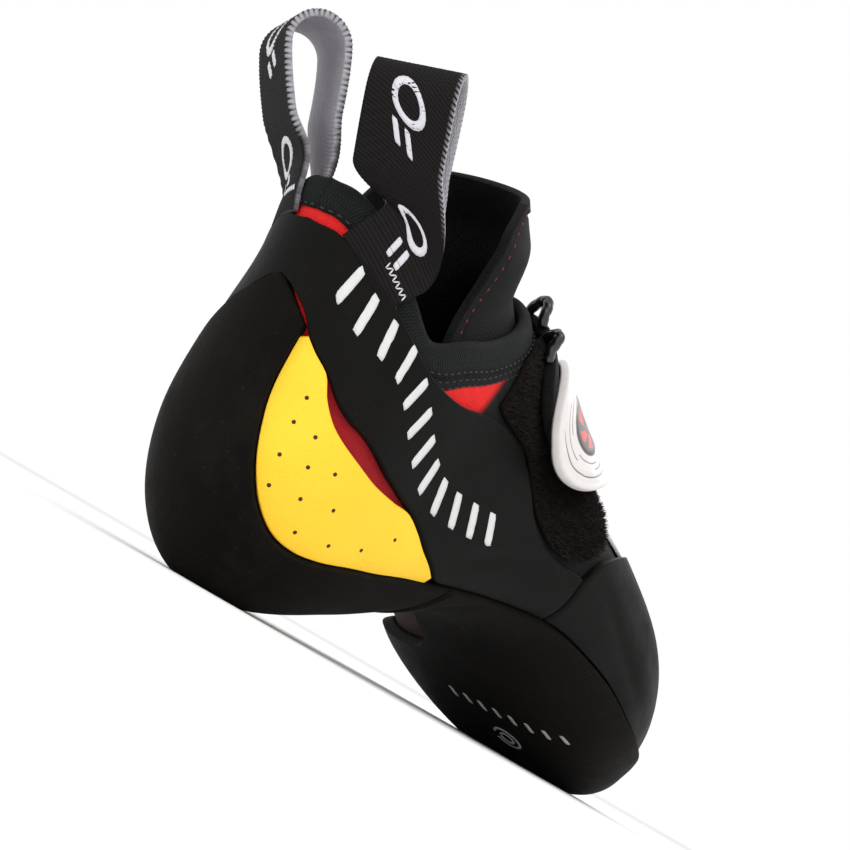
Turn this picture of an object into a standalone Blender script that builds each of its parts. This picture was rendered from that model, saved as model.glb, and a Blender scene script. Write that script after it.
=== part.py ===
# A right climbing shoe, empty and standing on its sole.
# +X points to the toe, +Y to the medial side, +Z up. The origin is under the heel, on the floor.
# Upper, rubber and overlays are all cut from one form, the surface of the last.

import bmesh
import bpy
import numpy as np

# Driving sizes of the last, in metres
LENGTH = 0.240
BALL_WIDTH = 0.096
HEEL_WIDTH = 0.061
INSTEP_HEIGHT = 0.077
HEEL_HEIGHT = 0.089
ARCH_HEIGHT = 0.026

# Thicknesses of what the shoe is made of
WALL = 0.0020
SOLE = 0.0036
CUP = 0.0030
BAND = 0.0019
RAND = 0.0021
INLAY = 0.0014
VAMP = 0.0010
PAD = 0.0014
STRAP = 0.0024
BADGE = 0.0022
TONGUE = 0.0016
INSOLE = 0.0020
BINDING_WIDTH = 0.0034
BINDING_RISE = 0.0030

# The binding's outline, as shares of half its width and of its rise
BINDING_OUTLINE = ((-1.0, 0.0), (-0.8, 0.85), (0.0, 1.0), (0.8, 0.85), (1.0, 0.0))

# Clearances: over one another, side by side, the flats worn into heel and forefoot, and what is
# added to a clearance inside the hollow, where facets stand in
GAP = 0.0005
SEAM = 0.0005
FLAT = 0.0014
HOLLOW_EASE = 0.0003

# Pull loops, of flat webbing sewn over the collar
WEBBING = 0.0016
WEBBING_WIDTH = 0.020
LOOP_HEIGHT = 0.042
LOOP_SPREAD = 0.0142
LOOP_ROOT = 0.0022

# Round badge on the end of the strap, and the cord keepers beside it
BADGE_DIAMETER = 0.038
KEEPER_CORD = 0.0028

# The upper's outer face lies this far inside the form, whose surface is the heel cup's outer face
SKIN = CUP + GAP

# Sections of the form from the toe's tip to the collar, one row each. They stand upright at the toe
# and lean over round the heel, like the joints of a bent pipe. Foot and ridge are the section's
# bottom and top points. Middle, medial and lateral are its centre and half widths. Level is the
# height of its widest place, and under and over are how square it is below and above that.
COLUMNS = ("foot_x", "foot_z", "ridge_x", "ridge_z", "middle", "medial", "lateral", "level", "under", "over")

# Shares of length, arch height, length, instep height, and of the ball width for the widths
FORE_SECTIONS = {
    "tip": (0.857, 0.44, 0.857, 0.162, 0.177, 0.005, 0.005, 0.50, 2.0, 2.0),
    "nose": (0.846, 0.19, 0.850, 0.273, 0.177, 0.115, 0.125, 0.50, 2.2, 2.0),
    "toe": (0.817, 0.04, 0.825, 0.364, 0.177, 0.198, 0.219, 0.45, 2.6, 2.1),
    "toes": (0.758, 0.00, 0.771, 0.505, 0.167, 0.302, 0.344, 0.43, 3.0, 2.3),
    "joints": (0.671, 0.12, 0.683, 0.675, 0.135, 0.417, 0.463, 0.42, 2.9, 2.4),
    "ball": (0.575, 0.38, 0.588, 0.815, 0.115, 0.469, 0.515, 0.41, 3.0, 2.5),
    "before_waist": (0.467, 0.73, 0.492, 0.930, 0.094, 0.427, 0.484, 0.42, 2.9, 2.5),
    "waist": (0.350, 1.00, 0.396, 1.025, 0.073, 0.396, 0.438, 0.43, 2.7, 2.4),
    "instep": (0.225, 0.81, 0.325, 1.130, 0.042, 0.344, 0.375, 0.42, 2.6, 2.2),
}

# Shares of length, heel height, length, heel height, and of the heel width for the widths
HEEL_SECTIONS = {
    "heel_front": (0.100, 0.079, 0.254, 1.079, 0.033, 0.508, 0.525, 0.40, 2.3, 2.3),
    "heel_seat": (0.000, 0.000, 0.200, 1.169, 0.016, 0.508, 0.492, 0.36, 2.3, 2.3),
    "heel_low": (-0.067, 0.079, 0.163, 1.236, 0.016, 0.508, 0.492, 0.34, 2.2, 2.3),
    "heel_back": (-0.113, 0.270, 0.138, 1.287, 0.016, 0.475, 0.475, 0.36, 2.2, 2.3),
    "heel_high": (-0.127, 0.517, 0.117, 1.326, 0.016, 0.451, 0.434, 0.42, 2.1, 2.3),
    "ankle": (-0.133, 0.764, 0.096, 1.360, 0.016, 0.418, 0.410, 0.48, 2.0, 2.2),
    "collar": (-0.150, 1.011, 0.075, 1.393, 0.016, 0.393, 0.385, 0.50, 2.0, 2.2),
}

LAST_ROW = float(len(FORE_SECTIONS) + len(HEEL_SECTIONS) - 1)

# A place on the form is a row, counted along the sections, and a turn, the share of the way round:
# 0 under the foot and up the heel's back, 0.25 medial, 0.5 on top, 0.75 lateral.

# Rows on which upper, sole and rand all have points, so that their facets follow one another
LINES = (0.05, 0.5, 1.0, 1.5, 2.1, 2.7, 3.3, 3.9, 4.5, 5.1, 5.35, 5.65, 6.1, 6.6, 7.1, 7.5, 7.85, 8.2, 8.5)
BAND_FRONT = 7.1
CUP_FRONT = 8.5

# Points of each piece's net, along it and across it; across the upper they are the stretches below
NETS = {
    "upper": (14,),
    "outsole": (len(LINES), 17),
    "heel_cup": (13, 11),
    "heel_band": (20, 6),
    "toe_rand": (LINES.index(BAND_FRONT) + 1, 21),
    "heel_inlay": (14, 4),
    "vamp_panel": (5, 21),
    "loop_pad": (13, 5),
    "strap": (15, 5),
    "strap_badge": (3, 18),
    "keeper_loop": (8, 8),
    "tongue": (13, 8),
    "insole": (15, 7),
    "pull_loop": (5, 5),
}

# Turns at which the upper's lengthwise lines change their spacing, and the lines in each stretch
RIM_STRETCHES = ((0.0, 0.28, 10), (0.28, 0.52, 12), (0.52, 1.0, 16))

# Edge between sole and rand, as a turn to either side of the middle of the sole
SOLE_EDGE = {
    "row": (0.0, 1.0, 2.0, 3.0, 4.3, 5.1, 5.9, 6.7, 7.6, 8.1, 8.8),
    "turn": (0.250, 0.250, 0.246, 0.238, 0.225, 0.215, 0.208, 0.190, 0.164, 0.156, 0.155),
}

# Depth of the bay that the sole leaves open under the arch, in from that edge on the medial side
SOLE_BAY = {
    "row": (4.5, 4.9, 5.25, 5.5, 5.7, 5.95, 6.4, 6.9, 7.3, 7.6, 7.9, 8.2, 8.4),
    "turn": (0.0, 0.018, 0.048, 0.097, 0.138, 0.158, 0.160, 0.145, 0.110, 0.060, 0.020, 0.003, 0.0),
}

# Edges of the heel cup, which reaches farther forward on the medial side
CUP_EDGE = {
    "row": (8.5, 9.0, 9.5, 10.0, 10.5, 10.8, 11.1, 11.6, 12.1, 12.5, 12.8, 13.3, 13.6),
    "lateral": (0.155, 0.152, 0.146, 0.137, 0.115, 0.100, 0.087, 0.072, 0.062, 0.055, 0.051, 0.054, 0.058),
    "medial": (0.155, 0.152, 0.146, 0.137, 0.122, 0.114, 0.109, 0.108, 0.113, 0.118, 0.105, 0.077, 0.058),
}

# Its upper end is a peak: rows that it climbs in the middle, the row where that starts, and its point
CUP_PEAK = 0.50
CUP_PEAK_START = 12.1
CUP_PEAK_POINT = 1.3

# Front edge of the coloured inlays beside the heel cup, the row where each starts past the first of
# these, and the rows where they end
INLAY_EDGE = {
    "row": (8.80, 9.0, 9.4, 9.7, 10.1, 10.5, 11.05, 11.5, 12.0, 12.4, 12.7, 13.0, 13.3, 13.5),
    "turn": (0.158, 0.170, 0.188, 0.200, 0.207, 0.199, 0.183, 0.167, 0.144, 0.124, 0.111, 0.101, 0.079,
             0.064),
}
INLAY_TIP = 0.03
INLAY_TOPS = {"lateral": 13.5, "medial": 12.45}

# Width of the slit left open between that edge and the band, as a turn
SLIT = {
    "row": (10.1, 10.5, 11.05, 11.5, 12.0, 12.4, 12.7, 13.0),
    "turn": (0.0, 0.005, 0.011, 0.015, 0.016, 0.011, 0.006, 0.0),
}

# Tensioned band round the heel, from the back to its forward end. Its lower edge follows the inlay
# and the sole, past the places given here for the stretch over the heel cup's peak.
BAND_EDGES = {
    "upper_row": (14.70, 14.60, 14.20, 13.48, 12.33, 10.98, 9.93, 9.01, 8.26, 7.70, 7.1),
    "upper_turn": (0.0, 0.055, 0.112, 0.168, 0.233, 0.293, 0.330, 0.320, 0.268, 0.247, 0.250),
    "lower_row": (14.08, 13.96, 13.45, 12.83, 11.95, 10.70, 9.73, 8.80, 8.20, 7.65, 7.1),
}
BAND_PEAK = {"row": (13.75, 13.92, 14.02, 14.08), "turn": (0.048, 0.030, 0.015, 0.0)}

# Rear edge of the toe rand, over the top of the foot, by the share of the way across it
RAND_REAR = {
    "across": (0.0, 0.10, 0.16, 0.24, 0.36, 0.5, 0.64, 0.76, 0.84, 0.90, 1.0),
    "row": (7.10, 7.10, 6.95, 6.30, 5.30, 4.90, 5.30, 6.30, 6.95, 7.10, 7.10),
}

# Collar's rim, with the throat's slot on the medial side of the ridge
RIM = {
    "turn": (0.0, 0.05, 0.08, 0.12, 0.17, 0.235, 0.27, 0.305, 0.335, 0.360, 0.385, 0.415, 0.445,
             0.47, 0.495, 0.54, 0.60, 0.66, 0.70, 0.735, 0.765, 0.83, 0.88, 0.92, 0.95, 1.0),
    "row": (15.0, 14.93, 14.78, 14.38, 13.66, 12.54, 12.00, 11.35, 10.55, 9.60, 8.70, 8.10, 8.60,
            9.35, 9.95, 10.15, 10.55, 11.30, 11.85, 12.2, 12.54, 13.66, 14.38, 14.78, 14.93, 15.0),
}

# Opening under the foot that the sole closes, from its lateral to its medial edge
OPENING = {
    "row": (2.3, 2.8, 3.4, 4.6, 5.3, 5.9, 6.6, 7.2, 7.8, 8.6, 9.4, 9.9),
    "lateral": (0.0, -0.060, -0.090, -0.110, -0.110, -0.100, -0.095, -0.090, -0.080, -0.075, -0.045, 0.0),
    "medial": (0.0, 0.060, 0.085, 0.100, 0.055, 0.000, -0.020, -0.010, 0.035, 0.060, 0.040, 0.0),
}

# Share of the way round over which the upper's lines make room for the opening
OPENING_PULL = 0.28

# White panel over the top of the foot, between toe rand and strap, by the same share across
VAMP_REAR = {
    "across": (0.24, 0.30, 0.38, 0.44, 0.50, 0.60, 0.72, 0.80, 0.86),
    "row": (6.72, 6.80, 6.92, 7.10, 7.34, 7.42, 7.46, 7.46, 7.40),
}

# Fuzzy pad that the strap closes on
PAD_EDGES = {
    "row": (7.02, 7.3, 7.7, 8.3, 9.0, 9.5, 9.85, 10.15),
    "upper_turn": (0.620, 0.570, 0.550, 0.535, 0.535, 0.540, 0.555, 0.600),
    "lower_turn": (0.700, 0.738, 0.746, 0.722, 0.672, 0.663, 0.662, 0.660),
}

# Strap from its root on the medial side, over the top, to its round end on the lateral side
STRAP_EDGES = {
    "turn": (0.338, 0.36, 0.39, 0.44, 0.50, 0.55, 0.590, 0.620, 0.645, 0.660),
    "front_row": (8.15, 7.95, 7.75, 7.65, 7.60, 7.55, 7.58, 7.70, 7.98, 8.35),
    "rear_row": (9.35, 9.45, 9.60, 9.70, 9.78, 9.80, 9.72, 9.55, 9.20, 8.80),
    "lift": (0.0, 0.60, 0.70, 0.75, 1.0, 1.1, 1.4, 1.8, 2.2, 2.5),
    "slant": (-0.050, -0.035, -0.015, 0.0, 0.0, 0.0, 0.0, 0.0, 0.0, 0.0),
}

# Place of the badge's middle, and cord loops that leave the strap's rear edge: turns of their two
# ends, and the arch between them, as rows back from that edge and heights over the strap's middle
BADGE_PLACE = (8.50, 0.606)
KEEPER_ENDS = {"keeper_loop_inner": (0.512, 0.538), "keeper_loop_outer": (0.556, 0.582)}
KEEPER_ARCH = {
    "share": (0.0, 0.15, 0.32, 0.5, 0.68, 0.85, 1.0),
    "back": (0.0, 0.14, 0.26, 0.31, 0.26, 0.14, 0.0),
    "rise": (0.0, 0.0010, 0.0028, 0.0036, 0.0028, 0.0010, 0.0),
}

# Elastic tongue, under the upper at its front and free above the collar
TONGUE_EDGES = {
    "row": (6.9, 7.6, 8.6, 9.6, 10.6, 11.6, 12.4, 13.1, 13.8, 14.4, 14.85),
    "medial_turn": (0.40, 0.36, 0.32, 0.30, 0.28, 0.27, 0.265, 0.27, 0.29, 0.32, 0.37),
    "lateral_turn": (0.60, 0.64, 0.67, 0.69, 0.71, 0.725, 0.715, 0.695, 0.690, 0.675, 0.63),
}

# Rows where the tongue leaves the upper that it is sewn to, and where it is clear of the binding.
# Above the strap and the collar it stands forward of the form: how far, from which row at the
# earliest, from how many rows past the rim, and over how many rows it gets there.
TONGUE_SEWN = 7.5
TONGUE_FREE = 8.0
TONGUE_SWELL = {"height": 0.0055, "first_row": 10.4, "past_rim": 0.4, "rows": 2.2}

# Insole inside the upper
INSOLE_EDGES = {
    "row": (1.9, 2.3, 3.0, 4.0, 5.0, 6.0, 7.0, 8.0, 9.0, 9.8, 10.6, 11.1),
    "lateral": (-0.06, -0.13, -0.16, -0.175, -0.175, -0.165, -0.155, -0.135, -0.115, -0.105, -0.085, -0.05),
    "medial": (0.06, 0.13, 0.155, 0.165, 0.155, 0.125, 0.110, 0.115, 0.110, 0.100, 0.080, 0.05),
}

# Pull loops: the turn of the middle of each root along the rim, the way that the loop stands, and how
# far its top is swung round that way, in degrees
LOOPS = {
    "pull_loop_medial": {"turn": 0.0925, "lean": (-0.37, 0.29, 0.88), "swing": 0.0},
    "pull_loop_lateral": {"turn": 0.8780, "lean": (-0.385, 0.09, 0.92), "swing": -17.0},
}

# Share of a loop's height over which the webbing straightens, above the binding, from the rim's bend
LOOP_STRAIGHT = 0.40

RUBBER = {"colour": (0.022, 0.020, 0.018), "roughness": 0.72}
SMOOTH_RUBBER = {"colour": (0.018, 0.018, 0.018), "roughness": 0.55}
YELLOW = {"colour": (0.90, 0.60, 0.04), "roughness": 0.50}
RED = {"colour": (0.60, 0.02, 0.02), "roughness": 0.80}
WHITE = {"colour": (0.75, 0.74, 0.72), "roughness": 0.60}
BLACK_CLOTH = {"colour": (0.020, 0.020, 0.022), "roughness": 0.90}
BADGE_FACE = {"colour": (0.68, 0.66, 0.65), "roughness": 0.45}
CORD = {"colour": (0.015, 0.014, 0.014), "roughness": 0.35}


def smooth(x, knots, values):
    # a curve through a table's rows, with the slope at each row taken from its neighbours
    knots = np.asarray(knots, float)
    values = np.asarray(values, float)
    step = np.diff(knots)
    rise = np.diff(values) / step
    slope = np.empty_like(values)
    slope[1:-1] = (rise[:-1] * step[1:] + rise[1:] * step[:-1]) / (step[1:] + step[:-1])
    slope[0] = rise[0]
    slope[-1] = rise[-1]
    x = np.clip(np.asarray(x, float), knots[0], knots[-1])
    k = np.clip(np.searchsorted(knots, x, side="right") - 1, 0, len(knots) - 2)
    t = (x - knots[k]) / step[k]
    a = values[k] * (1 + 2 * t) * (1 - t) ** 2 + values[k + 1] * t * t * (3 - 2 * t)
    return a + step[k] * (slope[k] * t * (1 - t) ** 2 + slope[k + 1] * t * t * (t - 1))


def ease(x):
    x = np.clip(x, 0.0, 1.0)
    return x * x * (3 - 2 * x)


def section_sizes():
    fore = np.array(list(FORE_SECTIONS.values()))
    heel = np.array(list(HEEL_SECTIONS.values()))
    fore[:, :4] *= (LENGTH, ARCH_HEIGHT, LENGTH, INSTEP_HEIGHT)
    heel[:, :4] *= (LENGTH, HEEL_HEIGHT, LENGTH, HEEL_HEIGHT)
    fore[:, 4:7] *= BALL_WIDTH
    heel[:, 4:7] *= HEEL_WIDTH
    return dict(zip(COLUMNS, np.vstack([fore, heel]).T))


class Form:
    # the last's surface, worked out on a fine net of rows and turns
    ROWS = 301
    TURNS = 240

    def __init__(self):
        sizes = section_sizes()
        knots = np.arange(LAST_ROW + 1)
        rows = np.linspace(0, LAST_ROW, self.ROWS)
        table = {name: smooth(rows, knots, column) for name, column in sizes.items()}
        self.points = np.array([
            self.section({name: column[i] for name, column in table.items()})
            for i in range(self.ROWS)
        ])
        along = np.gradient(self.points, axis=0)
        around = np.roll(self.points, -1, axis=1) - np.roll(self.points, 1, axis=1)
        normals = np.cross(around, along)
        normals /= np.linalg.norm(normals, axis=2, keepdims=True) + 1e-12
        outward = self.points - self.points.mean(axis=1, keepdims=True)
        if (normals * outward).sum() < 0:
            normals = -normals
        self.normals = normals

    def section(self, size):
        # half an oval on each side of the line from foot to ridge, evenly spaced along its length
        swing = np.linspace(0, np.pi, 181)
        foot = np.array([size["foot_x"], size["foot_z"]])
        line = np.array([size["ridge_x"], size["ridge_z"]]) - foot
        lift = -np.cos(swing)
        power = 2 / np.where(lift < 0, size["under"], size["over"])
        reach = np.abs(np.sin(swing)) ** power
        bent = np.sign(lift) * np.abs(lift) ** power
        level = size["level"]
        share = np.where(lift < 0, level * (1 + bent), level + (1 - level) * bent)
        sides = []
        for half in (size["medial"], -size["lateral"]):
            side = np.stack([
                foot[0] + line[0] * share,
                size["middle"] + half * reach,
                foot[1] + line[1] * share,
            ], axis=1)
            walked = np.r_[0, np.cumsum(np.linalg.norm(np.diff(side, axis=0), axis=1))]
            stops = np.linspace(0, walked[-1], self.TURNS // 2 + 1)
            sides.append(np.stack([np.interp(stops, walked, side[:, k]) for k in range(3)], axis=1))
        return np.vstack([sides[0], sides[1][-2:0:-1]])

    def frame(self, row, turn):
        # point and outward direction at a row and a turn
        row, turn = np.broadcast_arrays(np.asarray(row, float), np.asarray(turn, float))
        i = np.clip(row / LAST_ROW, 0, 1) * (self.ROWS - 1)
        j = np.mod(turn, 1.0) * self.TURNS
        low_i = np.minimum(i.astype(int), self.ROWS - 2)
        low_j = np.floor(j).astype(int) % self.TURNS
        next_j = (low_j + 1) % self.TURNS
        f = (i - low_i)[..., None]
        g = (j - np.floor(j))[..., None]

        def blend(net):
            near = net[low_i, low_j] * (1 - g) + net[low_i, next_j] * g
            far = net[low_i + 1, low_j] * (1 - g) + net[low_i + 1, next_j] * g
            return near * (1 - f) + far * f

        direction = blend(self.normals)
        direction = direction / np.linalg.norm(direction, axis=-1, keepdims=True)
        return blend(self.points), direction

    def at(self, row, turn, height):
        # a point at a height over the upper's outer face; nothing reaches below the floor
        point, direction = self.frame(row, turn)
        point = point + direction * (np.asarray(height, float)[..., None] - SKIN)
        point[..., 2] = np.maximum(point[..., 2] - FLAT, 0.0)
        return point


form = Form()


def clear_scene():
    for old in list(bpy.data.objects):
        bpy.data.objects.remove(old, do_unlink=True)


def make_material(name, finish):
    material = bpy.data.materials.new(name)
    material.use_nodes = True
    shader = material.node_tree.nodes["Principled BSDF"]
    shader.inputs["Base Color"].default_value = (*finish["colour"], 1.0)
    shader.inputs["Roughness"].default_value = finish["roughness"]
    shader.inputs["Metallic"].default_value = 0.0
    return material


def add_mesh(name, points, faces, finish, weld=0.0):
    mesh = bpy.data.meshes.new(name)
    mesh.from_pydata([tuple(p) for p in points], [], faces)
    net = bmesh.new()
    net.from_mesh(mesh)
    if weld:
        bmesh.ops.remove_doubles(net, verts=net.verts, dist=weld)
        bmesh.ops.dissolve_degenerate(net, edges=net.edges, dist=weld)
    bmesh.ops.recalc_face_normals(net, faces=net.faces)
    bmesh.ops.triangulate(net, faces=net.faces)
    net.to_mesh(mesh)
    net.free()
    mesh.shade_smooth()
    piece = bpy.data.objects.new(name, mesh)
    shoe.objects.link(piece)
    piece.data.materials.append(make_material(name, finish))
    return piece


def inset(row, turn, distance):
    # draws a patch's border in by a distance, so that its neighbours can lie beside it
    for flip in (False, True):
        for last in (False, True):
            r, t = (row.T, turn.T) if flip else (row, turn)
            edge, inner = (-1, -2) if last else (0, 1)
            there, _ = form.frame(r[inner], t[inner])
            here, _ = form.frame(r[edge], t[edge])
            share = distance / np.maximum(np.linalg.norm(there - here, axis=-1), 2 * distance)
            r[edge] += (r[inner] - r[edge]) * share
            t[edge] += (t[inner] - t[edge]) * share
    return row, turn


def shell(name, outer, inner, finish):
    # a closed solid between two nets of points that match
    rows, columns = outer.shape[:2]
    points = np.vstack([outer.reshape(-1, 3), inner.reshape(-1, 3)])
    count = rows * columns
    number = np.arange(count).reshape(rows, columns)
    faces = []
    for i in range(rows - 1):
        for j in range(columns - 1):
            a, b, c, d = number[i, j], number[i + 1, j], number[i + 1, j + 1], number[i, j + 1]
            faces.append((a, b, c, d))
            faces.append((a + count, d + count, c + count, b + count))
    border = list(number[0, :]) + list(number[1:, -1])
    border += list(number[-1, -2::-1]) + list(number[-2:0:-1, 0])
    for a, b in zip(border, border[1:] + border[:1]):
        faces.append((a, b, b + count, a + count))
    return add_mesh(name, points, faces, finish)


def patch(name, row, turn, bottom, thickness, finish, border=SEAM / 2):
    # an overlay on the form: its underside at a height, its border drawn in
    row, turn = inset(np.array(row), np.array(turn), border)
    bottom = np.broadcast_to(bottom, row.shape)
    outer = form.at(row, turn, bottom + thickness)
    inner = form.at(row, turn, bottom)
    return shell(name, outer, inner, finish)


def across(low, high, count):
    # a net between two edges, with a row of shares for each step along them
    share = np.linspace(0, 1, count)
    return low[:, None] + (high - low)[:, None] * share[None, :]


def strip_net(edges, low, high, net):
    # rows and turns of a strip that lies between two columns of a table
    steps, count = NETS[net]
    row_line = np.linspace(edges["row"][0], edges["row"][-1], steps)
    low_turn = smooth(row_line, edges["row"], edges[low])
    high_turn = smooth(row_line, edges["row"], edges[high])
    return np.repeat(row_line[:, None], count, axis=1), across(low_turn, high_turn, count)


def rim_lines():
    # turns of the upper's lengthwise lines, closer together at the throat's slot
    stretches = [np.linspace(start, end, lines + 1)[:-1] for start, end, lines in RIM_STRETCHES]
    return np.append(np.concatenate(stretches), 1.0)


def make_upper():
    share = rim_lines()
    columns = len(share) - 1
    front = np.array((0.0,) + LINES[:LINES.index(BAND_FRONT) + 1])
    back = np.linspace(0, 1, NETS["upper"][0])[1:]
    rim = smooth(share, RIM["turn"], RIM["row"])
    row = np.vstack([
        np.repeat(front[:, None], columns + 1, axis=1),
        BAND_FRONT + back[:, None] * (rim[None, :] - BAND_FRONT),
    ])
    lateral = smooth(row, OPENING["row"], OPENING["lateral"])
    medial = smooth(row, OPENING["row"], OPENING["medial"])
    outside = (row <= OPENING["row"][0]) | (row >= OPENING["row"][-1])
    lateral[outside] = 0.0
    medial[outside] = 0.0
    turn = share + medial * np.clip(1 - share / OPENING_PULL, 0, 1)
    turn = turn + lateral * np.clip(1 - (1 - share) / OPENING_PULL, 0, 1)
    outer = form.at(row, turn, 0.0)
    inner = form.at(row, turn, -WALL)

    rows = len(row)
    count = rows * (columns + 1)
    points = np.vstack([outer.reshape(-1, 3), inner.reshape(-1, 3)])
    number = np.arange(count).reshape(rows, columns + 1)
    faces = []
    for i in range(rows - 1):
        for j in range(columns):
            a, b, c, d = number[i, j], number[i + 1, j], number[i + 1, j + 1], number[i, j + 1]
            faces.append((a, b, c, d))
            faces.append((a + count, d + count, c + count, b + count))
        gap = np.linalg.norm(outer[i:i + 2, 0] - outer[i:i + 2, -1], axis=1)
        if gap.max() > 1e-6:
            for j in (0, columns):
                a, b = number[i, j], number[i + 1, j]
                faces.append((a, b, b + count, a + count))
    for j in range(columns):
        a, b = number[-1, j], number[-1, j + 1]
        faces.append((a, b, b + count, a + count))
    faces.append(tuple(number[0, :-1]))
    faces.append(tuple(number[0, :-1] + count))
    return add_mesh("upper", points, faces, RED, weld=2e-6)


def even_and_edges(count):
    # shares of a way across, closer together towards both edges
    even = np.linspace(0, 1, count)
    return 0.5 * even + 0.5 * (1 - np.cos(np.pi * even)) / 2


def make_outsole():
    row_line = np.array(LINES)
    lateral = -smooth(row_line, SOLE_EDGE["row"], SOLE_EDGE["turn"])
    medial = -lateral - smooth(row_line, SOLE_BAY["row"], SOLE_BAY["turn"])
    share = even_and_edges(NETS["outsole"][1])[None, :]
    turn = lateral[:, None] + (medial - lateral)[:, None] * share
    row = np.repeat(row_line[:, None], turn.shape[1], axis=1)
    return patch("outsole", row, turn, GAP, SOLE, RUBBER)


def make_heel_cup():
    steps, count = NETS["heel_cup"]
    row_line = np.linspace(CUP_FRONT, CUP_EDGE["row"][-1], steps)
    lateral = smooth(row_line, CUP_EDGE["row"], CUP_EDGE["lateral"])
    medial = smooth(row_line, CUP_EDGE["row"], CUP_EDGE["medial"])
    turn = across(-lateral, medial, count)
    side = np.abs(np.linspace(-1, 1, count))
    climb = np.clip((row_line - CUP_PEAK_START) / (row_line[-1] - CUP_PEAK_START), 0, 1)
    row = row_line[:, None] + CUP_PEAK * climb[:, None] * (1 - side ** CUP_PEAK_POINT)[None, :]
    return patch("heel_cup", row, turn, GAP, CUP, RUBBER)


def band_lower_turn(row):
    # along the sole, then beside the inlay and the slit, then over the heel cup's peak
    sole = [(r, t) for r, t in zip(SOLE_EDGE["row"], SOLE_EDGE["turn"]) if r < INLAY_EDGE["row"][0]]
    open_turn = np.interp(INLAY_EDGE["row"], SLIT["row"], SLIT["turn"])
    inlay = list(zip(INLAY_EDGE["row"], np.array(INLAY_EDGE["turn"]) + open_turn))
    peak = list(zip(BAND_PEAK["row"], BAND_PEAK["turn"]))
    rows, turns = zip(*(sole + inlay + peak))
    edge = smooth(row, rows, turns)
    beside_sole = smooth(row, SOLE_EDGE["row"], SOLE_EDGE["turn"])
    return np.where(row < INLAY_EDGE["row"][0], np.maximum(edge, beside_sole), edge)


def make_heel_band():
    stations = np.arange(len(BAND_EDGES["upper_row"]), dtype=float)
    steps = np.linspace(0, stations[-1], NETS["heel_band"][0])
    edges = {name: smooth(steps, stations, values) for name, values in BAND_EDGES.items()}
    edges["lower_turn"] = band_lower_turn(edges["lower_row"])
    both = {}
    for name, values in edges.items():
        sign = -1 if name.endswith("turn") else 1
        both[name] = np.r_[sign * values[:0:-1], values]
    row = across(both["lower_row"], both["upper_row"], NETS["heel_band"][1])
    turn = across(both["lower_turn"], both["upper_turn"], NETS["heel_band"][1])
    return patch("heel_band", row, turn, GAP, BAND, SMOOTH_RUBBER)


def rand_turn(row, share):
    # from the sole's lateral edge over the top of the foot to its medial edge
    edge = smooth(row, SOLE_EDGE["row"], SOLE_EDGE["turn"])
    return 1 - edge - share * (1 - 2 * edge)


def make_toe_rand():
    share = even_and_edges(NETS["toe_rand"][1])[None, :]
    rear = np.minimum(smooth(share, RAND_REAR["across"], RAND_REAR["row"]), BAND_FRONT)
    lines = np.array(LINES[:LINES.index(BAND_FRONT) + 1])[:, None]
    row = lines[0] + (lines - lines[0]) / (BAND_FRONT - lines[0]) * (rear - lines[0])
    return patch("toe_rand", row, rand_turn(row, share), GAP, RAND, SMOOTH_RUBBER)


def make_heel_inlay(side):
    # its lower end starts where heel cup and band have left room for it
    steps, count = NETS["heel_inlay"]
    row_line = np.linspace(INLAY_EDGE["row"][0] + INLAY_TIP, INLAY_TOPS[side], steps)
    way = -1 if side == "lateral" else 1
    rear = way * smooth(row_line, CUP_EDGE["row"], CUP_EDGE[side])
    front = way * smooth(row_line, INLAY_EDGE["row"], INLAY_EDGE["turn"])
    turn = across(rear, front, count)
    row = np.repeat(row_line[:, None], turn.shape[1], axis=1)
    return patch("heel_inlay_" + side, row, turn, GAP, INLAY, YELLOW)


def make_vamp_panel():
    share = even_and_edges(NETS["vamp_panel"][1])
    share = share[(share > VAMP_REAR["across"][0]) & (share < VAMP_REAR["across"][-1])]
    front = smooth(share, RAND_REAR["across"], RAND_REAR["row"])
    rear = smooth(share, VAMP_REAR["across"], VAMP_REAR["row"])
    row = across(front, rear, NETS["vamp_panel"][0])
    return patch("vamp_panel", row, rand_turn(row, share[:, None]), GAP, VAMP, WHITE)


def make_loop_pad():
    row, turn = strip_net(PAD_EDGES, "upper_turn", "lower_turn", "loop_pad")
    return patch("loop_pad", row, turn, GAP, PAD, BLACK_CLOTH)


def strap_bottom(turn):
    # height of the strap's underside: on the upper at its root, then clear of the slot's binding,
    # then on the pad, from which its end stands away
    lift = smooth(turn, STRAP_EDGES["turn"], STRAP_EDGES["lift"])
    return GAP + np.maximum(lift, 0) * (PAD + GAP)


def make_strap():
    steps, count = NETS["strap"]
    turn_line = np.linspace(STRAP_EDGES["turn"][0], STRAP_EDGES["turn"][-1], steps)
    front = smooth(turn_line, STRAP_EDGES["turn"], STRAP_EDGES["front_row"])
    rear = smooth(turn_line, STRAP_EDGES["turn"], STRAP_EDGES["rear_row"])
    slant = smooth(turn_line, STRAP_EDGES["turn"], STRAP_EDGES["slant"])
    row = across(front, rear, count)
    turn = across(turn_line + slant, turn_line, count)
    bottom = np.repeat(strap_bottom(turn_line)[:, None], count, axis=1)
    return patch("strap", row, turn, bottom, STRAP, BLACK_CLOTH)


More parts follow.
